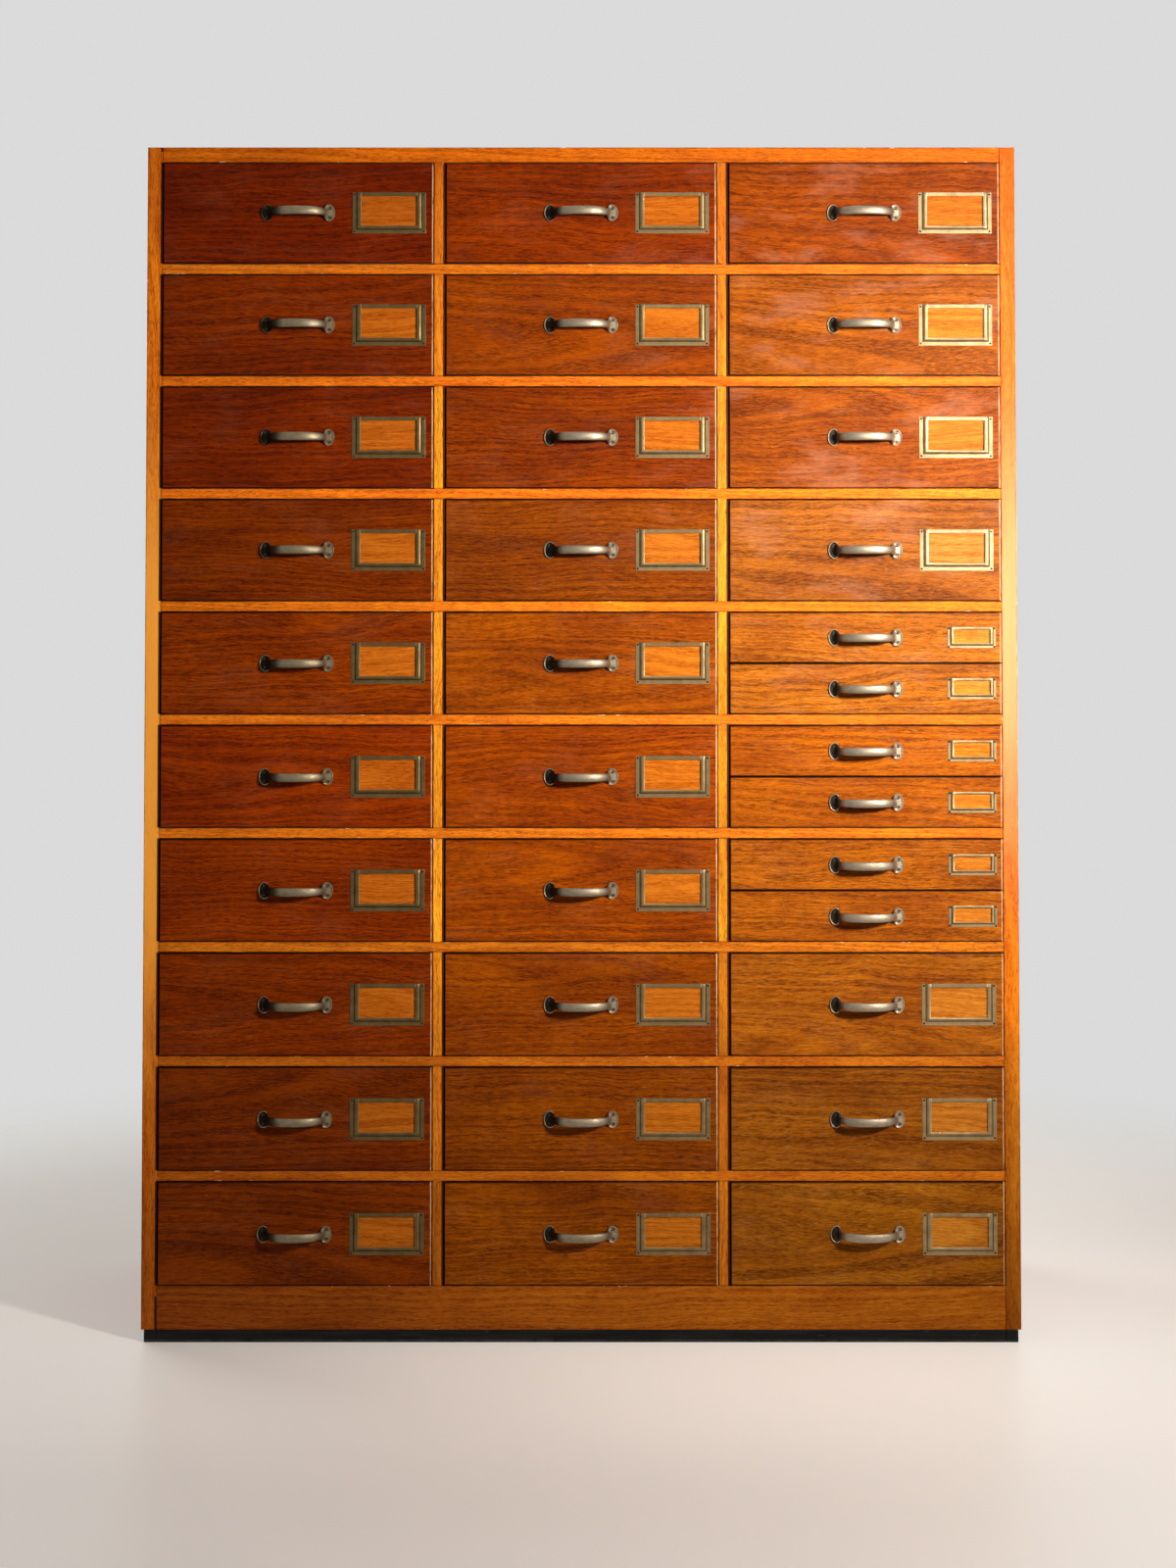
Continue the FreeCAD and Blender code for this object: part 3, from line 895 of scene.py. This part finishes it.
def pull_bow():
    """A flat oval drawn out from a wide foot on one plate, along the bow, to the foot on the other."""
    rings = [(Vector((-half_span - foot_sunk, -foot_sunk, 0)), foot_height, foot_thickness, 0.0),
             (Vector((-half_span, -foot_length, 0)), foot_end_height, foot_end_thickness, 0.0)]
    nearby = 0.02
    for step in range(1, stations):
        angle = math.pi * step / stations
        centre, tall, thick = bow_place(angle)
        way = bow_place(angle + nearby)[0] - bow_place(angle - nearby)[0]
        rings.append((centre, tall, thick, math.atan2(way.x, -way.y)))
    for centre, tall, thick, heading in (rings[1], rings[0]):
        rings.append((Vector((-centre.x, centre.y, 0)), tall, thick, math.pi))
    put_down()
    bpy.ops.mesh.primitive_circle_add(vertices=bow_sides, radius=0.5, fill_type="NGON")
    piece = bpy.context.object
    piece.name = "bow"
    bpy.ops.object.mode_set(mode="EDIT")
    bpy.ops.transform.rotate(value=math.pi / bow_sides, orient_axis="Z", center_override=(0, 0, 0))
    face_front()
    here, tall, thick, heading = rings[0]
    bpy.ops.transform.resize(value=(thick, 1, tall))
    bpy.ops.transform.translate(value=here)
    for there, new_tall, new_thick, turn in rings[1:]:
        extrude(there - here)
        bpy.ops.transform.rotate(value=heading - turn, orient_axis="Z", center_override=there)
        bpy.ops.transform.resize(value=(new_thick / thick, new_thick / thick, new_tall / tall),
                                 center_override=there)
        here, tall, thick, heading = there, new_tall, new_thick, turn
    close_mesh()
    return piece


def smooth_round(piece, levels):
    """Rounds a piece by dividing its faces, for good."""
    pick_up(piece)
    rounding = piece.modifiers.new("rounding", "SUBSURF")
    rounding.levels = levels
    rounding.render_levels = levels
    bpy.ops.object.modifier_apply(modifier=rounding.name)
    bpy.ops.object.shade_smooth()


def pull_plate(side):
    """A half-round plate: its outer edge an arc, its inner edge drawn in to the neck, its middle dished."""
    put_down()
    centre = Vector((side * (pull_length - plate_width) / 2, 0, 0))
    bpy.ops.mesh.primitive_circle_add(vertices=plate_sides, radius=0.5, fill_type="NGON")
    piece = bpy.context.object
    piece.name = "plate"
    bpy.ops.object.mode_set(mode="EDIT")
    face_front()
    bpy.ops.transform.resize(value=(plate_width * made_up_for_rounding, 1,
                                    plate_height * made_up_for_rounding))
    bpy.ops.transform.translate(value=centre)
    bpy.ops.object.mode_set(mode="OBJECT")
    for vertex in piece.data.vertices:
        inner = -side * (vertex.co.x - centre.x) / (plate_width / 2)
        if inner > waist_start:
            waist = waist_spread * (1 - abs(vertex.co.z) / (plate_height / 2))
            vertex.co.x += side * plate_width * waist_share * inner * min(1, waist)
    bpy.ops.object.mode_set(mode="EDIT")
    bpy.ops.mesh.select_all(action="SELECT")
    extrude((0, -plate_thickness, 0))
    faces_where(piece, lambda middle, normal: middle.y < -plate_thickness * 0.9)
    bpy.ops.mesh.inset(thickness=plate_rim)
    bpy.ops.mesh.inset(thickness=plate_rim)
    bpy.ops.transform.translate(value=(0, plate_hollow, 0))
    bpy.ops.mesh.inset(thickness=plate_dish)
    bpy.ops.transform.translate(value=(0, -plate_crown, 0))
    close_mesh()
    return piece


def aged_nickel():
    """Worn grey, browner at the necks and in the hollows, duller on the bow, with a painted shadow, black,
    over each left end.
    """
    finish, shader = plain_finish("aged_nickel")
    place = read(finish, "place")
    cast = vectors(finish, "ADD", place, read(finish, "sawn_from"))
    worn = clouds(finish, cast, (110.0, 150.0, 300.0), 3.0, 0.6)
    along, depth = parts(finish, place)[:2]
    neck = ramp(finish, depth, -0.018, -0.005)
    tarnish = sums(finish, "MULTIPLY_ADD", ramp(finish, worn, 0.35, 0.68), 0.35, times(finish, neck, 0.15))
    colour = blend_colours(finish, tarnish, (0.40, 0.325, 0.235, 1), (0.17, 0.120, 0.078, 1))
    hollow = ramp(finish, depth, -0.0018, -0.0011, 0.0, 0.2)
    colour = blend_colours(finish, hollow, colour, (0.09, 0.066, 0.045, 1))
    handled = ramp(finish, depth, -0.010, -0.005, 0.72, 1.0)
    handled = add_node(finish, "CombineXYZ", {}, {0: handled, 1: handled, 2: handled}).outputs[0]
    colour = tint(finish, colour, handled)

    spot = parts(finish, object_place(finish))
    # Painted shadow over each left end, reaching further on the left-hand pulls; the plate's rim stays out of
    # it except high up at the left.
    far_left = ramp(finish, spot[0], -0.4, 0.4, 1.0, 0.0)
    from_end = sums(finish, "MULTIPLY_ADD", far_left, -0.014, along)
    left_end_shadow = times(finish, ramp(finish, from_end, -0.042, -0.030, 0.97, 0.0),
                      ramp(finish, depth, -0.030, -0.016, 0.7, 1.0))
    rim = times(finish, ramp(finish, depth, -0.0034, -0.0026),
                ramp(finish, depth, -0.0019, -0.0014, 1.0, 0.0))
    high_left = times(finish, far_left, ramp(finish, spot[2], 0.8, 1.25, 0.0, 0.75))
    rim_out_of_shadow = times(finish, rim, sums(finish, "SUBTRACT", 1.0, high_left))
    left_end_shadow = times(finish, left_end_shadow, sums(finish, "SUBTRACT", 1.0, rim_out_of_shadow))
    colour = blend_colours(finish, left_end_shadow, colour, (0.010, 0.007, 0.004, 1))
    # The stain mark gives a random tone and the painted shade by column.
    colour = tint(finish, colour, read(finish, "stain"))
    roughness = ramp(finish, worn, 0.3, 0.7, 0.47, 0.60)
    join_up(finish, shader, colour, roughness, worn, strength=0.15, depth=0.0005)
    shader.inputs["Metallic"].default_value = 1.0
    return finish


def place_from_front(piece):
    """Keeps each point's place from the middle of the pull, for its finish to read."""
    places = []
    for vertex in piece.data.vertices:
        places.extend(vertex.co)
    write_points(piece, "place", places)


nickel = aged_nickel()
# Painted shade by column: darker to the left, lighter to the right.
pull_shade_by_column = {"left": (0.70, 0.68, 0.58), "middle": (0.88, 0.87, 0.82), "right": (1.08, 1.07, 1.04)}
bow = pull_bow()
smooth_round(bow, levels=2)
plates = [pull_plate(-1), pull_plate(1)]
for plate in plates:
    smooth_round(plate, levels=1)
pull_pattern = glue_up("pull_pattern", [bow, *plates])
place_from_front(pull_pattern)
for drawer in drawers:
    pull = copy_to(pull_pattern, drawer.name + "_pull", (drawer.middle, front_face, drawer.centre))
    new_board(pull, pull_shade_by_column[drawer.column])
    fit(pull, nickel, drawer)
bpy.data.objects.remove(pull_pattern)

# Pull screws
# Four slotted steel screws a pull, their heads sunk in the plates' hollows and dark with age.
screw_radius = 0.0022
shank_radius = 0.00132
screw_rise = 0.0064
screw_inset = 0.007
screw_length = 0.014
screw_head = 0.0012
slot_half = 0.00035
slot_depth = 0.0007
point_share = 0.3


def cut_edges(place, direction):
    """Cuts a piece's faces, in edit mode, along the plane at a place, square to a direction."""
    bpy.ops.mesh.select_all(action="SELECT")
    bpy.ops.mesh.bisect(plane_co=place, plane_no=direction)


def slotted_screw():
    put_down()
    bpy.ops.mesh.primitive_cylinder_add(vertices=12, radius=screw_radius, depth=screw_head)
    piece = bpy.context.object
    piece.name = "screw"
    bpy.ops.object.mode_set(mode="EDIT")
    face_front()
    bpy.ops.transform.translate(value=(0, -screw_head, 0))
    faces_where(piece, looks_back)
    bpy.ops.mesh.inset(thickness=screw_radius - shank_radius)
    extrude((0, screw_length, 0))
    bpy.ops.transform.resize(value=(point_share, 1, point_share))
    for side in (-1, 1):
        cut_edges((0, 0, side * slot_half), (0, 0, 1))
    faces_where(piece, lambda middle, normal: looks_forward(middle, normal)
                and abs(middle.z) < slot_half - hair)
    extrude((0, slot_depth, 0))
    close_mesh()
    bpy.ops.object.shade_smooth_by_angle(angle=math.radians(40))
    return piece


def dark_steel():
    finish, shader = plain_finish("dark_steel")
    rust = clouds(finish, object_place(finish), (700.0, 700.0, 700.0), 2.0)
    colour = blend_colours(finish, ramp(finish, rust, 0.35, 0.65), (0.040, 0.026, 0.016, 1),
                           (0.012, 0.008, 0.005, 1))
    join_up(finish, shader, colour, ramp(finish, rust, 0.3, 0.7, 0.35, 0.6))
    shader.inputs["Metallic"].default_value = 0.7
    return finish


screw_steel = dark_steel()
screw = slotted_screw()
screw_set = []
for side in (-1, 1):
    for step in (-1, 1):
        place = (side * (pull_length / 2 - screw_inset), 0, step * screw_rise)
        turned = copy_to(screw, "screw", (0, 0, 0))
        turned.data.transform(Matrix.Rotation(chance.uniform(0, math.pi), 4, "Y"))
        turned.data.transform(Matrix.Translation(place))
        screw_set.append(turned)
bpy.data.objects.remove(screw)
screw_pattern = glue_up("screw_pattern", screw_set)
for drawer in drawers:
    screws = copy_to(screw_pattern, drawer.name + "_pull_screws", (drawer.middle, front_face, drawer.centre))
    fit(screws, screw_steel, drawer)
bpy.data.objects.remove(screw_pattern)

# Card frames
# Frames pressed from thin brass, now olive brown, bright where hands and cards have worn the edges, with a
# painted highlight along the window, and grime and painted shade in the step.
# A flange lies flat on three sides, and a raised lip inside it holds a card slid in from above.
sheet = 0.0008
lip_rise = 0.0026
lip_fall = 0.0003
lip_round = 0.0012
notch_half = 0.0009
notch_depth = 0.0007
pressed_arris = 0.00035


def at(value, place):
    return abs(value - place) < hair


def cut_sheet(piece, card, window_side, window_bottom, window_top):
    """Cuts the sheet along the edges of the flange, the lip, the window and the notch in the top edge,
    and takes out the window."""
    raised_side = card["width"] / 2 - card["flange"]
    raised_bottom = card["flange"] - card["height"] / 2
    for x in (raised_side, window_side, notch_half):
        for side in (-1, 1):
            cut_edges((side * x, 0, 0), (1, 0, 0))
    for z in (raised_bottom, window_bottom, window_top):
        cut_edges((0, 0, z), (0, 0, 1))
    faces_where(piece, lambda middle, normal: abs(middle.x) < window_side
                and window_bottom < middle.z < window_top)
    bpy.ops.mesh.delete(type="FACE")


def raise_lip(piece, card, window_side, window_bottom, window_top):
    """Presses the lip forward, dents its notch, lets its inner edge fall, and slopes and rounds its step."""
    top = card["height"] / 2
    raised_side = card["width"] / 2 - card["flange"]
    raised_bottom = card["flange"] - card["height"] / 2
    faces_where(piece, lambda middle, normal: abs(middle.x) < raised_side and middle.z > raised_bottom)
    extrude((0, sheet - lip_rise, 0))
    faces_where(piece, lambda middle, normal: abs(normal.y) < 0.5 and (
        middle.z > top - hair
        or at(abs(middle.x), window_side)
        or (at(middle.z, window_bottom) and abs(middle.x) < window_side)
        or (at(middle.z, window_top) and abs(middle.x) < window_side)))
    bpy.ops.mesh.delete(type="FACE")
    faces_where(piece, lambda middle, normal: abs(middle.x) < notch_half and middle.z > window_top)
    bpy.ops.transform.translate(value=(0, notch_depth, 0))

    def raised(end):
        return end.y < -lip_rise + hair

    edges_where(piece, lambda end: raised(end) and abs(end.x) < window_side + hair
                and window_bottom - hair < end.z < window_top + hair)
    bpy.ops.transform.translate(value=(0, lip_fall, 0))
    edges_where(piece, lambda end: raised(end) and at(abs(end.x), raised_side))
    bpy.ops.transform.resize(value=(1 - card["slope"] / raised_side, 1, 1), center_override=(0, 0, 0))
    edges_where(piece, lambda end: raised(end) and at(end.z, raised_bottom))
    bpy.ops.transform.translate(value=(0, 0, card["slope"]))
    shoulder_side = raised_side - card["slope"]
    shoulder_bottom = raised_bottom + card["slope"]
    edges_where(piece, lambda end: raised(end) and (
        at(abs(end.x), shoulder_side) or at(end.z, shoulder_bottom)))
    bpy.ops.mesh.bevel(offset=lip_round, segments=4, affect="EDGES")


def thicken(piece):
    """Gives the pressed sheet its thickness and eases its edges."""
    thick = piece.modifiers.new("thick", "SOLIDIFY")
    thick.thickness = sheet
    thick.offset = -1
    bpy.ops.object.modifier_apply(modifier=thick.name)
    eased = piece.modifiers.new("eased", "BEVEL")
    eased.width = pressed_arris
    eased.segments = 2
    eased.limit_method = "ANGLE"
    eased.angle_limit = math.radians(55)
    bpy.ops.object.modifier_apply(modifier=eased.name)
    bpy.ops.object.shade_smooth_by_angle(angle=math.radians(50))
    keep_flats(piece)


def pressed_frame(card):
    """A card frame at the origin, its back on the front's face and its middle at x 0 and z 0."""
    put_down()
    bpy.ops.mesh.primitive_plane_add(size=1)
    piece = bpy.context.object
    piece.name = "card_frame"
    bpy.ops.object.mode_set(mode="EDIT")
    bpy.ops.transform.resize(value=(card["width"], card["height"], 1))
    face_front()
    bpy.ops.transform.translate(value=(0, -sheet, 0))
    window_side = card["width"] / 2 - card["side"]
    window_bottom = card["bottom"] - card["height"] / 2
    window_top = card["height"] / 2 - card["top"]
    cut_sheet(piece, card, window_side, window_bottom, window_top)
    raise_lip(piece, card, window_side, window_bottom, window_top)
    bpy.ops.mesh.select_all(action="SELECT")
    bpy.ops.mesh.remove_doubles(threshold=1e-6)
    close_mesh()
    mesh = piece.data
    if sum(face.normal.y * face.area for face in mesh.polygons) > 0:
        mesh.flip_normals()
    thicken(piece)
    flange = card["flange"]
    from_step = []
    for vertex in mesh.vertices:
        from_step += [(abs(vertex.co.x) - card["width"] / 2 + flange) / (card["side"] - flange),
                      (flange - card["height"] / 2 - vertex.co.z) / (card["bottom"] - flange), 0]
    write_points(piece, "from_step", from_step)
    return piece


def aged_brass():
    """Olive brass, worn bright near its outer edge, with a painted highlight along the window's edge, and
    grime and painted shade in the step round the lip.
    """
    finish, shader = plain_finish("aged_brass")
    place = object_place(finish)
    stains = clouds(finish, place, (55.0, 55.0, 55.0), 4.0, 0.65)
    fine = clouds(finish, place, (420.0, 420.0, 420.0), 3.0, 0.6)
    colour = blend_colours(finish, ramp(finish, stains, 0.3, 0.7), (0.270, 0.190, 0.100, 1),
                           (0.180, 0.122, 0.062, 1))
    beside, below = parts(finish, read(finish, "from_step"))[:2]
    step = sums(finish, "MAXIMUM", beside, below)
    # Painted highlight along the window's edge, and wear near the outer edge.
    highlit_window_edge = times(finish, ramp(finish, step, -0.90, -0.97), ramp(finish, step, -1.2, -1.1, 0.0, 0.5))
    worn_and_highlit = sums(finish, "ADD", ramp(finish, step, 0.80, 0.93, 0.0, 0.15), highlit_window_edge)
    colour = blend_colours(finish, worn_and_highlit, colour, (0.56, 0.43, 0.26, 1))
    # Grime, and painted shade in the crease of the step.
    grime = times(finish, ramp(finish, step, -0.10, 0.0), ramp(finish, step, 0.06, 0.20, 0.9, 0.0))
    colour = blend_colours(finish, grime, colour, (0.018, 0.011, 0.006, 1))
    colour = blend_colours(finish, ramp(finish, fine, 0.62, 0.8, 0.0, 0.2), colour, (0.44, 0.34, 0.19, 1))
    # The stain mark carries the painted shade by column.
    colour = tint(finish, colour, read(finish, "stain"))
    roughness = ramp(finish, stains, 0.3, 0.7, 0.38, 0.54)
    join_up(finish, shader, colour, roughness, fine, strength=0.2, depth=0.0003)
    shader.inputs["Metallic"].default_value = 1.0
    return finish


brass = aged_brass()
# Painted shade by column for the frames: darker to the left, lighter to the right.
frame_shade_by_column = {"left": (0.50, 0.47, 0.36), "middle": (0.82, 0.79, 0.68), "right": (1.10, 1.08, 1.0)}
frame_patterns = {kind: pressed_frame(card) for kind, card in card_frames.items()}
for drawer in drawers:
    x = drawer.middle + card_offset(card_frames[drawer.kind])
    holder = copy_to(frame_patterns[drawer.kind], drawer.name + "_card_frame", (x, front_face, drawer.centre))
    mark(holder, "stain", frame_shade_by_column[drawer.column])
    fit(holder, brass, drawer)
for piece in frame_patterns.values():
    bpy.data.objects.remove(piece)

# Card frame pins
# Small round-headed pins, one at each corner of the frame's flange, nearly black.
pin_radius = 0.0008
pin_head = 0.0016
pin_head_height = 0.0006
pin_head_middle = 0.0002
pin_dome = 0.0004
pin_shank = 0.007


def round_pin():
    put_down()
    bpy.ops.mesh.primitive_cylinder_add(vertices=8, radius=pin_head, depth=pin_head_height)
    piece = bpy.context.object
    piece.name = "pin"
    bpy.ops.object.mode_set(mode="EDIT")
    face_front()
    bpy.ops.transform.translate(value=(0, -sheet - pin_head_middle, 0))
    faces_where(piece, looks_forward)
    bpy.ops.mesh.bevel(offset=pin_dome, segments=2, affect="EDGES")
    faces_where(piece, looks_back)
    bpy.ops.mesh.inset(thickness=pin_head - pin_radius)
    extrude((0, pin_shank, 0))
    bpy.ops.transform.resize(value=(point_share, 1, point_share))
    close_mesh()
    bpy.ops.object.shade_smooth_by_angle(angle=math.radians(50))
    return piece


pin = round_pin()
pin_patterns = {}
for kind, card in card_frames.items():
    pin_set = []
    for side in (-1, 1):
        for step in (-1, 1):
            x = side * (card["width"] - card["flange"]) / 2
            z = step * (card["height"] - card["flange"]) / 2
            pin_set.append(copy_to(pin, "pin", (x, 0, z)))
    pin_patterns[kind] = glue_up("pins", pin_set)
bpy.data.objects.remove(pin)
for drawer in drawers:
    x = drawer.middle + card_offset(card_frames[drawer.kind])
    pins = copy_to(pin_patterns[drawer.kind], drawer.name + "_card_pins", (x, front_face, drawer.centre))
    fit(pins, screw_steel, drawer)
for piece in pin_patterns.values():
    bpy.data.objects.remove(piece)

# Floor
# A pale, faintly glossy floor that fades into the background well away from the chest. Seen directly, it
# shines with painted light, brighter to the right and in front.
floor_reach = 3.2
floor_middle = (0.0, -0.4, 0.0)
fade_start = 1.35
fade_end = 2.3


def shown_directly(finish):
    """One where the eye, or a mirror-like surface, looks straight at the floor or the surround."""
    rays = add_node(finish, "LightPath", {}, {}).outputs
    direct = sums(finish, "MAXIMUM", rays["Is Camera Ray"], rays["Is Glossy Ray"])
    return sums(finish, "MAXIMUM", direct, rays["Is Transmission Ray"])


def pale_floor():
    """Pale and faintly glossy, with painted light of its own, seen directly, that is weaker to the left and
    behind the chest.
    """
    finish, shader = plain_finish("pale_floor")
    place = object_place(finish)
    marks = clouds(finish, place, (1.6, 1.6, 1.6), 4.0, 0.6)
    colour = blend_colours(finish, ramp(finish, marks, 0.3, 0.7), (0.845, 0.80, 0.745, 1),
                           (0.865, 0.825, 0.77, 1))
    join_up(finish, shader, colour, ramp(finish, marks, 0.3, 0.7, 0.36, 0.40))
    shader.inputs["Specular IOR Level"].default_value = 0.25
    across, back = parts(finish, place)[:2]
    # Painted light seen directly: brighter to the right and in front, weaker to the left and behind the
    # chest.
    painted_floor_light = times(finish, ramp(finish, across, -1.0, 1.0, 0.17, 0.58),
                 ramp(finish, back, -0.7, 0.5, 1.0, 0.42))
    painted_floor_light = times(finish, shown_directly(finish), painted_floor_light)
    painted_floor_glow = add_node(finish, "Emission", {}, {"Color": (1.0, 0.92, 0.83, 1), "Strength": painted_floor_light}).outputs[0]
    pale = add_node(finish, "AddShader", {}, {0: shader.outputs[0], 1: painted_floor_glow}).outputs[0]
    clear = add_node(finish, "BsdfTransparent", {}, {}).outputs[0]
    away = vectors(finish, "SUBTRACT", place, floor_middle)
    distance = add_node(finish, "VectorMath", {"operation": "LENGTH"}, {0: away}).outputs["Value"]
    fading = {0: ramp(finish, distance, fade_start, fade_end), 1: pale, 2: clear}
    mixed = add_node(finish, "MixShader", {}, fading).outputs[0]
    finish.node_tree.links.new(mixed, finish.node_tree.nodes["Material Output"].inputs["Surface"])
    return finish


put_down()
bpy.ops.mesh.primitive_circle_add(vertices=64, radius=floor_reach, fill_type="NGON", location=floor_middle)
bpy.ops.object.transform_apply(location=True, rotation=True, scale=True)
ground = bpy.context.object
ground.name = "studio_floor"
ground.data.materials.append(pale_floor())

# Light
# A small soft lamp stands to the right and in front, above the middle of the chest, and lights the
# fronts. Large ones fill from the left, above and behind, and a pale surround shows in the metal.
surround_colour = (0.70, 0.705, 0.70, 1)
surround_light = 0.06
surround = bpy.data.worlds.new("surround")
bpy.context.scene.world = surround
surround.use_nodes = True
tree = surround.node_tree
lighting = tree.nodes["Background"]
lighting.inputs["Color"].default_value = (1.0, 1.0, 1.0, 1)
lighting.inputs["Strength"].default_value = surround_light
seen = add_node(surround, "Background", {}, {"Color": surround_colour, "Strength": 1.0})
either = {0: shown_directly(surround), 1: lighting.outputs[0], 2: seen.outputs[0]}
choice = add_node(surround, "MixShader", {}, either)
tree.links.new(choice.outputs[0], tree.nodes["World Output"].inputs["Surface"])


def soft_lamp(name, place, target, size, power, colour, spread=180):
    lamp = bpy.data.lights.new(name, "AREA")
    lamp.shape = "RECTANGLE"
    lamp.size, lamp.size_y = size
    lamp.energy = power
    lamp.color = colour
    lamp.spread = math.radians(spread)
    stand = bpy.data.objects.new(name, lamp)
    stand.location = place
    stand.rotation_euler = (Vector(target) - Vector(place)).to_track_quat("-Z", "Y").to_euler()
    bpy.context.collection.objects.link(stand)


soft_lamp("window_lamp", place=(1.60, -2.00, 1.42), target=(0.38, -0.2, 1.16), size=(0.22, 0.26),
          power=19.5, colour=(1.0, 0.97, 0.93), spread=66)
soft_lamp("left_fill", place=(-2.4, -3.2, 2.2), target=(0, 0, 0.9), size=(2.0, 2.0),
          power=2.5, colour=(0.97, 0.98, 1.0))
soft_lamp("top_fill", place=(0, 0.3, 4.4), target=(0, 0, 0), size=(4.4, 4.4),
          power=55.0, colour=(1.0, 1.0, 1.0))
soft_lamp("back_fill", place=(-2.6, 2.4, 2.0), target=(0, 0.2, 0.8), size=(2.0, 2.0),
          power=45.0, colour=(1.0, 0.99, 0.97))

# Camera
# It stands 3.4 m in front of the drawer fronts, a little above the chest's middle and tilted up 2
# degrees. The lens is shifted as the photograph's framing needs.
camera_distance = 3.4
camera_height = 0.976
camera_tilt = 1.993
lens_length = 56.74
lens_shift = (0.0044, -0.1559)
view = bpy.data.cameras.new("camera")
view.sensor_width = 36.0
view.lens = lens_length
view.shift_x, view.shift_y = lens_shift
camera = bpy.data.objects.new("camera", view)
camera.location = (0.0, front_face - camera_distance, camera_height)
camera.rotation_euler = (math.radians(90 + camera_tilt), 0.0, 0.0)
bpy.context.collection.objects.link(camera)
bpy.context.scene.camera = camera
bpy.context.scene.view_settings.view_transform = "Standard"
